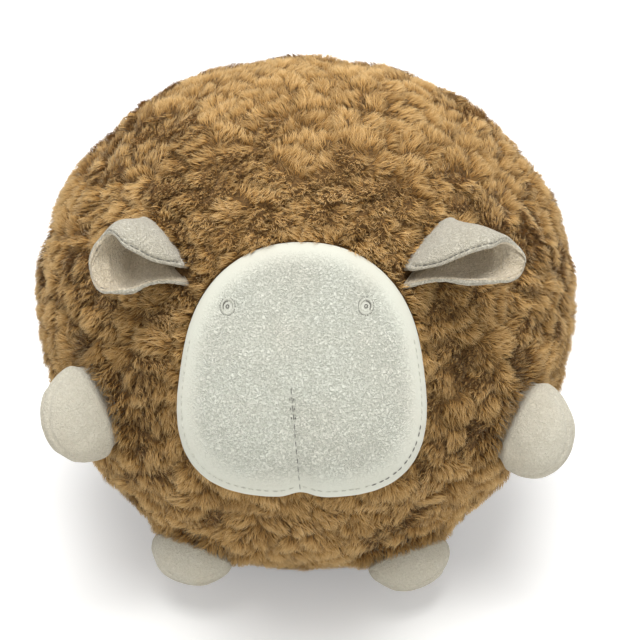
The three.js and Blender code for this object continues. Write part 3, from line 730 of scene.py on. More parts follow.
def addRimStitches(pale, dark):
    # top-stitch just inside the lower rim: long stitches with short gaps
    turn = np.radians(np.linspace(75, 285, 900))
    rimX, rimAlong = faceOutline(turn)
    rimX, rimAlong = rimX * (1 - muzzle["rimInset"]), rimAlong * (1 - muzzle["rimInset"])
    run = np.concatenate([[0], np.cumsum(np.hypot(np.diff(rimX), np.diff(rimAlong)))])
    starts = np.arange(1, run[-1] - 4, muzzle["pitch"])
    starts = starts + np.random.default_rng(9).normal(0, 0.3, len(starts))
    clear = np.abs(np.interp(starts, run, rimX)) > 2.5
    starts = starts[clear]
    place = lambda s: faceSpot(np.interp(s, run, rimX), np.interp(s, run, rimAlong), 0.12)
    start, out = place(starts)
    end, _ = place(starts + muzzle["stitch"])
    darkFrom, darkBelow = muzzle["threadShows"]
    darkSide = (np.interp(starts, run, rimX) > darkFrom) & (np.interp(starts, run, rimAlong) < darkBelow)
    parts = []
    for which, slot in ((darkSide, 1), (~darkSide, 0)):
        parts.append((*threadStitches(start[which], end[which], out[which] * 0.18, 0.27), slot))
    threadPiece("rim_stitches", "cushion", parts, [pale, dark], "muzzle_rim_thread")


# Ears

ear = {
    "rootSpan": 23.0,
    "rootFold": 4.2,
    "rootDepth": 3.6,
    "stand": 16.0,
    "rest": 3.0,
    "depth": 16.0,
    "wrap": 142.0,
    "back": 201.0,
    "cloth": 1.6,
    "corner": 0.36,
    "rows": 90,
    "columns": 110,
    "tipTaper": 0.35,
    "edgeRoll": 1.2,
    "wall": (1.25, 0.55),  # half the cloth at its sewn rim, and what it gains further in
    "seamGroove": (0.8, 0.7),  # depth and width
    "seamGather": 0.25,
    "stitchInset": 3.0,
    "stitchPitch": 3.0,
    "stitchLength": 2.3,
    "sewn": (0.12, 0.965),  # shares of the way to the tip between which the topstitch runs
    "creases": {  # each: place along and across, width along and across, depth
        "left": [(0.8, 0.1, 0.03, 0.3, 1.2), (0.9, -0.35, 0.02, 0.2, 0.8), (0.6, 0.55, 0.25, 0.05, 0.6)],
        "right": [(0.86, 0.2, 0.025, 0.3, 1.2), (0.7, -0.3, 0.2, 0.05, 0.6)],
    },
    "right": {"azimuth": 28.7, "latitude": 30.9, "turn": 34, "tipOut": 33, "tipForward": 30, "tipUp": 0,
              "height": 17.5, "wrap": 150, "back": 158, "tipBack": 200, "cornerRun": (0.66, 0.84)},
    "left": {"azimuth": 26.1, "latitude": 31.3, "turn": 37, "tipOut": 44.8, "tipForward": 27, "tipUp": 3,
             "height": 13, "wrap": 153, "back": 158, "tipBack": 200, "cornerRun": (0.78, 0.92)},
}


def earFrame(shape, side):
    azimuth, polar = side * math.radians(shape["azimuth"]), math.radians(90 - shape["latitude"])
    root = ballPlace(polarDirection(azimuth, polar), 0.0)
    out = ballNormal(azimuth, polar)
    inward = np.array([-math.cos(azimuth), -math.sin(azimuth), 0.0]) * side
    down = -upwards(unit(np.cross(out, inward)))
    turn = math.radians(shape["turn"])
    line = inward * math.cos(turn) + down * math.sin(turn)
    under = -upwards(unit(np.cross(out, line)))
    return {"root": root, "out": out, "line": line, "under": under}


def clearOfPile(spots, share):
    # raised out of the pile along the ray from the ball's middle, softly, by a share of what is lacking
    middle = np.array([0, 0, ball["middleHeight"] - ball["seatCut"]])
    ray = spots - middle
    length = np.linalg.norm(ray, axis=-1)
    power = ball["crownFullness"]
    across = (np.hypot(ray[..., 0], ray[..., 1]) / ball["radius"]) ** power
    upright = np.abs(ray[..., 2] / ball["crownHeight"]) ** power
    room = length * (1 - (across + upright) ** (-1 / power)) - ear["rest"]
    lift = (np.hypot(room, 2 * ear["cloth"]) - room) / 2
    return spots + ray / length[..., None] * (lift * share)[..., None]


def earTaper(along):
    return 1 - ear["tipTaper"] * smoothStep(along, 0.6, 1)


def earRadius(along):
    # about how round the channel is there, which turns an angle into a width of cloth
    return ear["depth"] * earTaper(along) * smoothStep(along, -0.4, 0.5) + 5


def earTube(place, shape, side, along, angle):
    # a leaf folded into a channel: the sections ride a curve from the root, flat there and round further out
    along, angle = np.broadcast_arrays(along, angle)
    tip = place["root"] + np.array([side * shape["tipOut"], -shape["tipForward"], shape["tipUp"]])
    start = place["root"] - place["out"] * ear["rootDepth"]
    bend = place["root"] + place["out"] * ear["stand"]
    t = along[..., None]
    spine = start * (1 - t) ** 2 + bend * 2 * t * (1 - t) + tip * t ** 2
    ease = smoothStep(along, 0, 0.74)[..., None]
    taper = earTaper(along)[..., None]
    forward = unit(place["line"] * (1 - ease) + np.array([side * -0.3, -1, -0.1]) * ease)
    up = unit(-place["under"] * (1 - ease) + np.array([side * 0.1, 0, 1]) * ease)
    fold = ear["rootFold"]
    roundness = fold + (ear["depth"] * taper - fold) * ease
    height = fold + (shape["height"] * taper - fold) * ease
    straight = (ear["rootSpan"] - fold) * (1 - ease)
    cosine, sine = np.cos(angle)[..., None], np.sin(angle)[..., None]
    run = straight * cosine * (1.5 - 0.5 * cosine ** 2) + roundness * cosine
    return clearOfPile(spine + forward * run + up * height * sine, smoothStep(along, 0, 0.15))


def earAngle(shape, along, across):
    leaf = np.clip(1 - along ** 4, 0, 1) ** (1 / 2.4)
    ease = smoothStep(along, 0, 0.5)
    half = (ear["wrap"] + (shape["wrap"] - ear["wrap"]) * ease) * leaf
    # the flap's own edge turns up to a corner before the tip
    half = half * np.where(across < 0, 1 - ear["corner"] * smoothStep(along, *shape["cornerRun"]), 1)
    turned = (shape["back"] - ear["back"]) * ease
    middle = ear["back"] + turned + (shape["tipBack"] - shape["back"]) * along ** 2
    return np.radians(middle + half * across), np.radians(half)


def earPoint(place, shape, side, along, across, offset):
    # a point of the ear's cloth, moved out of its middle by an offset, with its outward direction
    along, across = np.broadcast_arrays(np.asarray(along, float), np.asarray(across, float))
    angle, _ = earAngle(shape, along, across)
    step, turn = 0.02, 0.1
    near = np.minimum(along, 1 - step)
    tube = lambda where, around: earTube(place, shape, side, where, around)
    lengthwise = tube(near + step, angle) - tube(np.maximum(0, near - step), angle)
    crosswise = tube(along, angle + turn) - tube(along, angle - turn)
    out = unit(np.cross(lengthwise, crosswise)) * side
    return tube(along, angle) + out * np.asarray(offset)[..., None], out


def earCrease(word, along, across):
    # folds that the stuffing-free cloth keeps near the tip and in the channel, as heights in millimetres
    spot = np.stack([along * 60, across * 50, 0 * along], -1)
    soft = 0.8 * softNoise(spot, 17.0, 31 if word == "left" else 32) * smoothStep(along, 0.1, 0.4)
    for a, c, lengthwise, crosswise, depth in ear["creases"][word]:
        soft = soft - depth * np.exp(-((along - a) / lengthwise) ** 2 - ((across - c) / crosswise) ** 2)
    return soft


def addEar(word, side, velour, lining, pale, dark):
    shape = ear[word]
    place = earFrame(shape, side)
    rows, columns = ear["rows"], ear["columns"]
    along = np.sin(np.linspace(0, 1, rows) ** 0.9 * math.pi / 2)[:, None] * 0.9995
    across = -np.cos(np.arange(columns + 1) / columns * math.pi)[None]
    _, half = earAngle(shape, along + 0 * across, across + 0 * along)
    edge = (1 - np.abs(across)) * half * earRadius(along)
    # two layers turned at the rim: a rolled edge, a stitched line inside it, then the flat cloth
    (rimWall, innerGain), (grooveDepth, grooveWidth) = ear["wall"], ear["seamGroove"]
    rolled = np.sqrt(np.clip(1 - (1 - np.clip(edge / ear["edgeRoll"], 0, 1)) ** 2, 0, 1))
    fromSeam = edge - ear["stitchInset"]
    groove = grooveDepth * bell(fromSeam, grooveWidth) * smoothStep(along, 0.1, 0.3)
    wall = (rimWall + innerGain * smoothStep(edge, 2.6, 6.0) - groove) * rolled
    wave = earCrease(word, along + 0 * across, across + 0 * along)
    gather = ear["seamGather"] * np.sin(along * 70) * bell(fromSeam, 2.5)
    outer, _ = earPoint(place, shape, side, along, across, wall - 0.2 + wave + gather)
    inner, _ = earPoint(place, shape, side, along, across, -wall - 0.2 + wave + gather)
    rings = np.concatenate([outer, inner[:, ::-1][:, 1:-1]], 1)
    points, quads, triangles = closedRings(rings)
    inside = np.arange(2 * columns) > columns
    piece = meshObject("ear_" + word + "_leaf", points, quads, triangles, [velour, lining],
                       np.tile(inside, rows + 1))
    finishPiece(piece, "ear_" + word, "velour", "ear_" + word + "_outer", "ear_" + word + "_lining")
    # the topstitch, on both faces of the cloth, in dark thread that stands partly for the shade along the
    # stitched line: painted shade
    parts = []
    for end in (-1, 1):
        line = np.linspace(*ear["sewn"], 600)
        _, halfLine = earAngle(shape, line, end + 0 * line)
        reach = end * (1 - ear["stitchInset"] / (halfLine * earRadius(line)))
        for offset in (0.5, -0.9):
            lineWave = earCrease(word, line, reach)
            spots, _ = earPoint(place, shape, side, line, reach, offset + lineWave)
            run = np.concatenate([[0], np.cumsum(np.linalg.norm(np.diff(spots, axis=0), axis=1))])
            starts = np.arange(0.5, run[-1] - 3.0, ear["stitchPitch"])
            starts = starts + np.random.default_rng(30).normal(0, 0.3, len(starts))
            at = lambda s: np.interp(s, run, line)
            pick = lambda s: earPoint(place, shape, side, at(s), np.interp(at(s), line, reach),
                                      offset + np.interp(at(s), line, lineWave))
            start, out = pick(starts)
            finish, _ = pick(starts + ear["stitchLength"])
            out = out * np.sign(offset)
            parts.append((*threadStitches(start, finish, out * 0.2, 0.22), 1))
    threadPiece("ear_" + word + "_topstitch", "ear_" + word, parts, [pale, dark])


# Paws, feet and tail: one kind of stuffed stub

paw = {"reach": 36, "swell": 8, "halfWidth": 27, "halfThick": 15.5, "rootHalfWidth": 24, "rootHalfThick": 11,
       "rootDepth": 5, "droop": 3, "lean": 24,
       "left": {"polar": 98, "azimuth": 45}, "right": {"polar": 94, "azimuth": 41}}
foot = {"reach": 25, "swell": 5, "halfWidth": 27, "halfThick": 13, "rootHalfWidth": 24, "rootHalfThick": 9.5,
        "rootDepth": 5, "droop": -8, "lean": 86,
        "left": {"polar": 132.5, "azimuth": 28.8}, "right": {"polar": 131, "azimuth": 29.4}}
tail = {"reach": 46, "swell": 24, "halfWidth": 19, "halfThick": 11, "rootHalfWidth": 11, "rootHalfThick": 5.5,
        "rootDepth": 5, "droop": 28, "lean": 90, "left": {"polar": 104, "azimuth": 180}}

stuffing = {  # what the filling and the seam do to each stub's cloth
    "rows": 90,
    "columns": 200,
    "gather": 0.4,
    "gatherPitch": 5.2,
    "gatherReach": 3.5,
    "seamGroove": (1.0, 0.8),  # depth and width
    "crease": (0.8, 4.6, 1.0),  # beside the seam: depth, distance from it, width
    "lumps": ((0.6, 13.0), (0.25, 6.0)),  # height and cell
}


def stubFrame(stub, word, side):
    azimuth, polar = side * math.radians(stub[word]["azimuth"]), math.radians(stub[word]["polar"])
    root = ballPlace(polarDirection(azimuth, polar), 0.0)
    out = ballNormal(azimuth, polar)
    level = np.array([math.cos(azimuth), math.sin(azimuth), 0.0]) * side
    upward = upwards(unit(np.cross(out, level)))
    lean = math.radians(stub["lean"])
    wide = upward * math.cos(lean) + level * math.sin(lean)
    thick = upwards(unit(np.cross(out, wide)))
    along = unit(out - upward * math.tan(math.radians(stub["droop"])))
    flat = unit(np.cross(along, wide))
    flat = flat if flat @ thick > 0 else -flat
    return {"root": root, "out": out, "wide": wide, "along": along, "flat": flat}


def stubHalf(stub, distance, name):
    # half width or thickness: it swells from the root, then rounds off like a ball's end
    root, full = stub["rootHalf" + name], stub["half" + name]
    swell, reach = stub["swell"], stub["reach"]
    rounded = full * np.sqrt(np.clip(1 - ((distance - swell) / (reach - swell)) ** 2, 0, 1))
    return np.where(distance > swell, rounded, root + (full - root) * smoothStep(distance, 0, swell))


def addStub(name, body, stub, place, velour, nodes, seed):
    rows, columns = stuffing["rows"], stuffing["columns"]
    share = (np.arange(1, rows + 1) / (rows + 1))[:, None]
    depth, reach = stub["rootDepth"], stub["reach"]
    distance = -depth + (reach + depth) * np.sin(share * math.pi / 2)
    angle = roundTurn(columns)[None]
    wide = stubHalf(stub, distance, "Width")
    thick = stubHalf(stub, distance, "Thick")
    w, f = wide * np.cos(angle), thick * np.sin(angle)
    # the seam runs round the rim in the plane of the width: a groove with gathers beside it
    seamAway = np.abs(f)
    run = np.hypot(distance - stub["swell"], w)
    spot = np.stack([w, f, distance + 0 * w], -1) + seed * 37
    wave = np.sin(run * 2 * math.pi / stuffing["gatherPitch"] + 3 * softNoise(spot, 9.0, seed))
    gather = stuffing["gather"] * wave * np.exp(-seamAway / stuffing["gatherReach"])
    (deep, narrow), (crease, creaseAway, creaseWidth) = stuffing["seamGroove"], stuffing["crease"]
    groove = deep * bell(seamAway, narrow) + crease * bell(seamAway - creaseAway, creaseWidth)
    lumps = layeredNoise(spot, stuffing["lumps"], seed + 1)
    inward = (gather + lumps) * smoothStep(distance, 0, 8) - groove * smoothStep(distance, 0, 5)
    scale = 1 + inward / np.maximum(np.hypot(w, f), 3.5)
    tipPull = 1 + np.where(distance > stub["swell"], inward, 0) / reach * 0.6
    points = (place["root"] + place["along"] * (distance * tipPull)[..., None]
              + place["wide"] * (w * scale)[..., None] + place["flat"] * (f * scale)[..., None])
    mesh = closedRings(points)
    piece = meshObject(name, *mesh, [velour], smoothed=np.full(len(mesh[0]), 0.5))
    finishPiece(piece, body, "velour", *nodes)


# Pile

pile = {
    "locks": 134000,
    "strands": 4,  # to a lock
    "length": 7.6,  # of a fibre above the dense lower pile
    "rootDepth": 4.6,
    "rootSpread": 1.0,
    "gather": 0.3,  # how far a lock's tips come together
    "width": 0.36,  # of a fibre bundle at its root, coarser than real so that it shows
    "lumps": 1450,
    "lumpHeight": 6.0,  # from the crease between two lumps to their tops
    "lumpEdge": 6.8,  # over which a lump rounds off to its crease
    "fan": 1.0,  # how far the fibres of a lump spread over its creases
    "lean": (22.0, 52.0),  # degrees below and above a fibre's bend
    "flowCell": 48.0,  # mm over which the pile keeps its direction
    "lowerDepth": 2.6,  # of the dense lower pile, below the tips
    "lowerRough": ((0.5, 4.0),),  # height and cell
    "dive": 7.0,  # how far it goes down under the face
    "lowerRows": 160,
    "lowerColumns": 320,
    "radius": 166.0,
    "lumpLift": (-0.9, 0.7),  # how far a lump stands below or above the others
    "crowdLift": 3.6,  # how far the pile is pushed up at a sewn root
    "rimLift": 2.4,  # and at the face's rim
    "wander": 0.65,  # how far the flow strays, where 1 is as much as its main way
    "lumpTurn": 0.9,  # radians that a lump leans away from the flow
    "lockTurn": 0.28,  # and a lock from its lump
    "wobble": 0.8,
    "twist": 0.9,  # radians that a ribbon turns about its own line
    "lightShares": (0.8, 0.35),  # of the soft lump's facing and of the ribbon's own
    "bands": (62, 100),  # degrees down to where the upper and middle bands end
    "warp": (9.0, 3.4),  # of the lumps' creases: cell and reach
    "curls": ((0.9, 10.0), (0.7, 4.0)),  # radians that the locks turn, and over what cell
    "crowdTilt": 24,  # degrees that a fibre stands up more at a sewn root
    "rimTilt": 10,  # and at the face's rim
    "lockHeight": (0.94, 1.05),
    "fibreHeight": (0.93, 1.04),
    "tint": 0.52,  # of the pile, where 0 is dark and 1 light
    "lumpTint": 0.1,  # how much it strays from lump to lump
    "lockTint": 0.12,
    "fibreTint": 0.08,
    # painted shade: the next value darkens the fibres' colour down in the creases between lumps
    "paintedCreaseShade": 0.3,  # how much darker it is down in a crease
}


def evenDirections(count, shake, rng):
    # spots spread evenly over a sphere by the golden angle, then shaken a little
    step = np.arange(count) + 0.5
    height = 1 - 2 * step / count
    turn = step * math.pi * (3 - math.sqrt(5))
    flat = np.sqrt(1 - height ** 2)
    spots = np.stack([flat * np.sin(turn), -flat * np.cos(turn), height], 1)
    return unit(spots + rng.normal(0, shake * math.sqrt(4 * math.pi / count), spots.shape))


def lumpOf(directions, lumps):
    # the lump that each place is in, how far the place is from the lump's crease in millimetres, and the
    # direction to the next lump: with d the distances to the two nearest middles, (d2² - d1²) / (2 d12)
    cell, reach = pile["warp"]
    warp = np.stack([softNoise(directions * pile["radius"], cell, s) for s in (51, 52, 53)], -1)
    spots = unit(directions + warp * reach / pile["radius"])
    first, second = np.empty(len(spots), int), np.empty(len(spots), int)
    for start in range(0, len(spots), 4000):
        rows = slice(start, start + 4000)
        near = spots[rows] @ lumps.T
        first[rows] = np.argmax(near, axis=1)
        near[np.arange(len(near)), first[rows]] = -2
        second[rows] = np.argmax(near, axis=1)
    toFirst, toSecond = (np.sum((spots - lumps[k]) ** 2, -1) for k in (first, second))
    step = lumps[second] - lumps[first]
    edge = (toSecond - toFirst) / (2 * np.linalg.norm(step, axis=-1)) * pile["radius"]
    return first, np.maximum(edge, 0), unit(tangentTo(directions, step))


def lumpSink(edge):
    # a lump's top is flat and its side round, so the pile sinks towards the crease as a quarter circle does
    inward = 1 - np.clip(edge / pile["lumpEdge"], 0, 1)
    return pile["lumpHeight"] * (1 - np.sqrt(1 - inward ** 2)), inward


def tangentTo(directions, vectors):
    return vectors - directions * np.sum(vectors * directions, -1, keepdims=True)


def turnedAbout(directions, vectors, angle):
    return vectors * np.cos(angle)[:, None] + np.cross(directions, vectors) * np.sin(angle)[:, None]


def awayFromFace(places):
    # direction in the face's plane from its middle, and the share of the way to its rim
    offset = places - faceMiddle
    x, along = offset[:, 0], offset @ faceUp
    share = np.where(places[:, 1] < 0, faceShare(x, along), 9)
    away = unit(faceAcross * x[:, None] + faceUp * along[:, None])
    return away, share


def pushOffFace(points):
    # a fibre that would run through the face's cloth is moved out to its rim
    shape = points.shape
    flat = points.reshape(-1, 3)
    offset = flat - faceMiddle
    near = (flat[:, 1] < -60) & (np.abs(offset[:, 0]) < 75) & (np.abs(offset @ faceUp) < 75)
    spots = offset[near]
    x, along, height = spots[:, 0], spots @ faceUp, spots @ faceOut
    share = faceShare(x, along)
    surface, _ = faceHeight(x, along, np.minimum(share, 1))
    sunk = (share < 1.02) & (height < surface + 0.6)
    scale = np.where(sunk, 1.02 / np.maximum(share, 0.2), 1)
    flat[near] = faceMiddle + (faceAcross * (x * scale)[:, None] + faceUp * (along * scale)[:, None]
                               + faceOut * height[:, None])
    return flat.reshape(shape)


def pushOffStub(points, stub, place):
    shape = points.shape
    flat = points.reshape(-1, 3)
    offset = flat - place["root"]
    near = np.linalg.norm(offset, axis=1) < stub["halfWidth"] + 16
    spots = offset[near]
    distance = spots @ place["along"]
    w, f = spots @ place["wide"], spots @ place["flat"]
    wide = stubHalf(stub, distance, "Width") + 0.3
    thick = stubHalf(stub, distance, "Thick") + 0.3
    size = np.sqrt((w / wide) ** 2 + (f / thick) ** 2)
    inside = (size < 1) & (distance > -stub["rootDepth"] - 1) & (distance < stub["reach"])
    scale = np.where(inside, 1 / np.maximum(size, 0.25), 1) - 1
    flat[near] += place["wide"] * (w * scale)[:, None] + place["flat"] * (f * scale)[:, None]
    return flat.reshape(shape)


def pileDip(directions, roots):
    # three crossed waves, each bent by another, make the large lumps; level underneath and round the roots
    places = ballPlace(directions, 0.0)
    x, y, z = np.moveaxis(places * (2 * math.pi / ball["lumpPitch"]), -1, 0)
    wave = (np.sin(x + 1.6 * np.sin(0.53 * z)) + np.sin(y + 1.6 * np.sin(0.61 * x))
            + np.sin(z + 1.6 * np.sin(0.47 * y)))
    share = smoothStep(wave, -0.8, 2.2)
    polar = np.degrees(np.arccos(np.clip(unit(directions)[..., 2], -1, 1)))
    share = share * (1 - smoothStep(polar, ball["lumpEnd"] - 22, ball["lumpEnd"]))
    for root in roots:
        away = np.linalg.norm(places - root, axis=-1)
        share = share * smoothStep(away, ball["lumpClear"], 2 * ball["lumpClear"])
    return ball["lumpDip"] * share


def rootCrowding(places, stubs, ears):
    # how near a place is to a stub or an ear, 0 to 1, the way off it, and whether it is inside the root
    off = np.zeros_like(places)
    crowd = np.zeros(len(places))
    inside = np.zeros(len(places), bool)
    for stub, place in stubs:
        offset = places - place["root"]
        near = np.linalg.norm(offset, axis=1) < 60
        w, f = offset @ place["wide"], offset @ place["flat"]
        inside |= (np.hypot(w / (stub["rootHalfWidth"] + 0.5), f / (stub["rootHalfThick"] + 0.5)) < 1) & near
        full = np.hypot(w / (stub["halfWidth"] + 2), f / (stub["halfThick"] + 2))
        share = np.clip((1.4 - full) * 2.5, 0, 1) * near
        off += unit(place["wide"] * w[:, None] + place["flat"] * f[:, None]) * share[:, None]
        crowd = np.maximum(crowd, share)
    for place in ears:
        offset = places - place["root"]
        l, u = offset @ place["line"], offset @ place["under"]
        past, beside = np.abs(l) - ear["rootSpan"], np.abs(u) - ear["rootFold"]
        inside |= (past < 0.5) & (beside < 0.5)
        beyond = np.hypot(np.maximum(past, 0), np.maximum(beside, 0))
        share = bell(beyond, 6.0)
        off -= unit(place["under"] * u[:, None]) * (0.6 * share)[:, None]
        crowd = np.maximum(crowd, 0.8 * share)
    return crowd, off, inside


def addPile(plush, backing, stubs, ears):
    rng = np.random.default_rng(11)
    radius = pile["radius"]
    roots = [place["root"] for place in [p for _, p in stubs] + ears]
    lumps = evenDirections(pile["lumps"], 0.38, rng)
    lumpLift = rng.uniform(*pile["lumpLift"], len(lumps))
    addBacking(backing, lumps, lumpLift, roots)
    locks = evenDirections(pile["locks"], 0.4, rng)
    places = ballPlace(locks, 0.0)
    away, share = awayFromFace(places)
    crowd, off, inside = rootCrowding(places, stubs, ears)
    keep = (share > 1.005) & ~inside
    locks, away, share, crowd, off = locks[keep], away[keep], share[keep], crowd[keep], off[keep]
    count = len(locks)

    # each lump of pile leans its own way about a slow flow that runs up on top and down at the sides
    def flow(directions):
        spots = directions * radius
        wander = np.stack([softNoise(spots, pile["flowCell"], s) for s in (41, 42, 43)], -1)
        crown = smoothStep(-directions[:, 1], 0.45, 0.75) * smoothStep(directions[:, 2], 0.3, 0.6)
        rising = smoothStep(directions[:, 2], 0.5, 0.85) * 1.7 - 0.8 - 1.3 * crown
        back = smoothStep(directions[:, 2], 0.8, 0.97) * 0.8
        return wander * pile["wander"] + np.stack([0 * back, back - 0.3 * crown, rising], -1)

    lumpFlow = unit(tangentTo(lumps, flow(lumps)))
    lumpLean = turnedAbout(lumps, lumpFlow, rng.normal(0, pile["lumpTurn"], len(lumps)))
    lumpTint = rng.normal(0, 1, len(lumps))
    lump, edge, toNext = lumpOf(locks, lumps)
    sink, inward = lumpSink(edge)
    rim = bell(share - 1, 0.1)
    calm = np.maximum(crowd, 0.7 * rim)
    lift = lumpLift[lump] * (1 - calm) + pile["crowdLift"] * crowd + pile["rimLift"] * rim
    sink = sink * (1 - 0.8 * calm) - lift + pileDip(locks, roots)
    slope = np.minimum(pile["lumpHeight"] / pile["lumpEdge"] * inward / np.sqrt(1.02 - inward ** 2), 1.1)
    curve = layeredNoise(locks * radius, pile["curls"], 54)
    lean = lumpLean[lump] + toNext * (pile["fan"] * inward)[:, None]
    lean = unit(tangentTo(locks, lean + away * (0.6 * rim)[:, None] + off * 0.8))
    lean = turnedAbout(locks, lean, curve + rng.normal(0, pile["lockTurn"], count))
    tall = rng.uniform(*pile["lockHeight"], count)
    tiltMore = rng.normal(0, 5, count) - pile["crowdTilt"] * crowd - pile["rimTilt"] * rim
    soft = unit(locks + toNext * slope[:, None])
    # the lock's tone, darkened down in its lump's crease by painted shade
    tintLock = (pile["tint"] + pile["lumpTint"] * lumpTint[lump] + rng.normal(0, pile["lockTint"], count)
                - pile["paintedCreaseShade"] * inward ** 2)

    # fibres of a lock start apart and come together at their tips
    each = pile["strands"]
    locks, lean, tall, tiltMore, sink, soft, tint = (
        np.repeat(v, each, axis=0) for v in (locks, lean, tall, tiltMore, sink, soft, tintLock))
    total = len(locks)
    side = np.cross(locks, lean)
    spread = pile["rootSpread"] * np.sqrt(rng.uniform(0, 1, total))
    spin = rng.uniform(0, 2 * math.pi, total)
    offset = lean * (spread * np.cos(spin))[:, None] + side * (spread * np.sin(spin))[:, None]
    length = pile["length"] * tall * rng.uniform(*pile["fibreHeight"], total)
    wobble = rng.normal(0, pile["wobble"], (total, 2))
    shift = np.zeros((total, 3))
    rise = np.zeros(total)
    bendAt = rng.uniform(0.4, 0.6, total)
    points = np.empty((total, 3, 3))
    for k in range(3):
        if k:
            part = length * (bendAt if k == 1 else 1 - bendAt)
            angle = np.radians(np.clip(pile["lean"][k - 1] + tiltMore, 0, 82))
            rise = rise + part * np.cos(angle)
            shift = shift + lean * (part * np.sin(angle))[:, None]
        t = np.stack([0 * bendAt, bendAt, 0 * bendAt + 1])[k][:, None]
        curl = side * (wobble[:, :1] * np.sin(math.pi * t) + wobble[:, 1:] * t)
        tangent = offset * (1 - pile["gather"] * t) + shift + curl
        points[:, k] = ballPlace(locks + tangent / radius, pile["rootDepth"] + sink - rise)
    points = pushOffFace(points)
    for stub, place in stubs:
        points = pushOffStub(points, stub, place)
    points[..., 2] = np.maximum(points[..., 2], 0.4)

    # each fibre bundle is a narrow ribbon that ends in a point, turned a random way about its own line, and
    # faces the way that it's mostly seen from, which is out and a little up
    ahead = np.empty_like(points)
    ahead[:, 1:-1] = points[:, 2:] - points[:, :-2]
    ahead[:, 0] = points[:, 1] - points[:, 0]
    ahead[:, -1] = points[:, -1] - points[:, -2]
    ahead = unit(ahead)
    frontShare = smoothStep(-locks[:, 1:2], -0.5, 0.3)
    outward = unit(locks * np.array([1.0, 1.0, 0.3]) + np.array([0, -0.45, 0.2]) * frontShare)
    flatWay = unit(np.cross(ahead, outward[:, None]))
    overWay = np.cross(flatWay, ahead)
    twist = rng.uniform(-pile["twist"], pile["twist"], total)[:, None, None]
    across = flatWay * np.cos(twist) + overWay * np.sin(twist)
    width = pile["width"] * np.array([1.0, 0.85]) / 2
    left = points[:, :2] - across[:, :2] * width[:, None]
    right = points[:, :2] + across[:, :2] * width[:, None]
    ribbon = np.concatenate([np.stack([left, right], 2).reshape(total, 4, 3), points[:, 2:]], 1)
    # light falls on the fibres as on the soft lump that they make, with a little of each ribbon's own turn
    facing = np.cross(across, ahead)[:, (0, 0, 1, 1, 2)]
    softShare, ownShare = pile["lightShares"]
    normals = unit(soft[:, None] * softShare + facing * ownShare)
    tint = np.clip(tint + rng.normal(0, pile["fibreTint"], total), 0.02, 0.98)
    laneU = tint[:, None] + np.array([-1, 1, -1, 1, 0]) * 0.004
    laneV = np.stack([0 * bendAt, 0 * bendAt, bendAt, bendAt, 0 * bendAt + 1], 1) * 0.98 + 0.01
    lanes = np.stack([laneU, laneV], -1)

    # pieces follow the cloth panels: four quarters in three bands, and the base
    azimuth = np.arctan2(locks[:, 0], -locks[:, 1])
    polar = np.degrees(np.arccos(np.clip(locks[:, 2], -1, 1)))
    quarter = (np.floor(azimuth / (math.pi / 2)) % 4).astype(int)
    band = np.digitize(polar, (*pile["bands"], ball["baseSeam"]))
    quarters = ("front_left", "back_left", "back_right", "front_right")
    for number in range(4):
        for level, word in enumerate(("upper", "middle", "lower")):
            chosen = (quarter == number) & (band == level)
            addRibbons("pile_" + quarters[number] + "_" + word, ribbon[chosen], lanes[chosen],
                       normals[chosen], plush, "body_" + quarters[number])
    addRibbons("pile_base", ribbon[band == 3], lanes[band == 3], normals[band == 3], plush, "body_base")
    return total


def addRibbons(name, ribbon, lanes, normals, plush, node):
    count = len(ribbon)
    offset = (np.arange(count) * 5)[:, None, None]
    quads = (np.array([[0, 1, 3, 2]])[None] + offset).reshape(-1, 4)
    triangles = (np.array([[2, 3, 4]])[None] + offset).reshape(-1, 3)
    piece = meshObject(name, ribbon.reshape(-1, 3), quads, triangles, [plush], uv=lanes.reshape(-1, 2),
                       normals=normals.reshape(-1, 3))
    finishPiece(piece, "cushion", "pile_cloth", node)


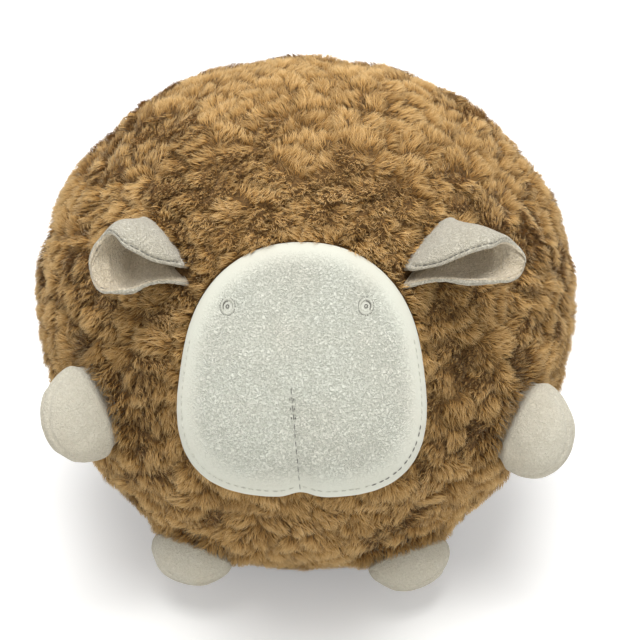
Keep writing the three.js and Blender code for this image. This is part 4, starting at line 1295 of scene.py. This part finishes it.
def addBacking(backing, lumps, lumpLift, roots):
    # the dense lower pile on the stuffed ball's cloth, in the fibres' own lumps; it dives under the face
    rows, columns = pile["lowerRows"], pile["lowerColumns"]
    polar = (np.arange(1, rows) / rows * math.pi)[:, None]
    azimuth = roundTurn(columns)[None]
    directions = polarDirection(azimuth, polar).reshape(-1, 3)
    lump, edge, _ = lumpOf(directions, lumps)
    _, share = awayFromFace(ballPlace(directions, 0.0))
    under = pile["dive"] * (1 - smoothStep(share, 0.9, 1.04))
    rough = layeredNoise(directions * pile["radius"], pile["lowerRough"], 61)
    depth = pile["lowerDepth"] + lumpSink(edge)[0] - lumpLift[lump] + rough + under
    depth = depth + pileDip(directions, roots)
    rings = ballPlace(directions, depth).reshape(rows - 1, columns, 3)
    piece = meshObject("ball_backing", *closedRings(rings), [backing])
    finishPiece(piece, "cushion", "fibre", "body_filling")


# Making the cushion

addCamera()
addStudio()
print("stage: camera and studio")
faceCloth = suedetteMaterial("polyesterSuedette", *cloth["face"])
# the limbs' cloth carries painted light bounced off the pile
limbCloth = suedetteMaterial("polyesterSuedetteWithPaintedBounce", *cloth["limbs"])
# the lining's cloth carries painted light bounced off the pile
liningCloth = suedetteMaterial("suedetteLiningWithPaintedBounce", *cloth["lining"])
plush = plushMaterial("longPilePlush")
backing = backingMaterial("knittedBacking")
paleThread = threadMaterial("creamPolyesterThread", "#cfcfc3", "#aeaea0")
darkThread = threadMaterial("greyPolyesterThread", "#7d7c74", "#4c4a45")
addFace(faceCloth)
addEye("left", 1, paleThread, darkThread)
addEye("right", -1, paleThread, darkThread)
addDartStitches(paleThread, darkThread)
addRimStitches(paleThread, darkThread)
print("stage: face")
ears = []
for word, side in (("left", 1), ("right", -1)):
    addEar(word, side, limbCloth, liningCloth, paleThread, darkThread)
    ears.append(earFrame(ear[word], side))
print("stage: ears")
stubs = []
for word, side in (("left", 1), ("right", -1)):
    for kind, stub, below, seed in (("paw_", paw, "_under", 70), ("foot_", foot, "_sole", 80)):
        place = stubFrame(stub, word, side)
        limb = kind + word
        nodes = [limb + "_top", limb + below, limb + "_filling"]
        addStub(limb + "_stuffed", limb, stub, place, limbCloth, nodes, seed + side)
        stubs.append((stub, place))
place = stubFrame(tail, "left", 1)
addStub("tail_stuffed", "tail", tail, place, limbCloth, ["tail_top", "tail_under", "tail_filling"], 90)
stubs.append((tail, place))
print("stage: paws, feet and tail")
fibres = addPile(plush, backing, stubs, ears)
print("stage: pile of", fibres, "fibres")
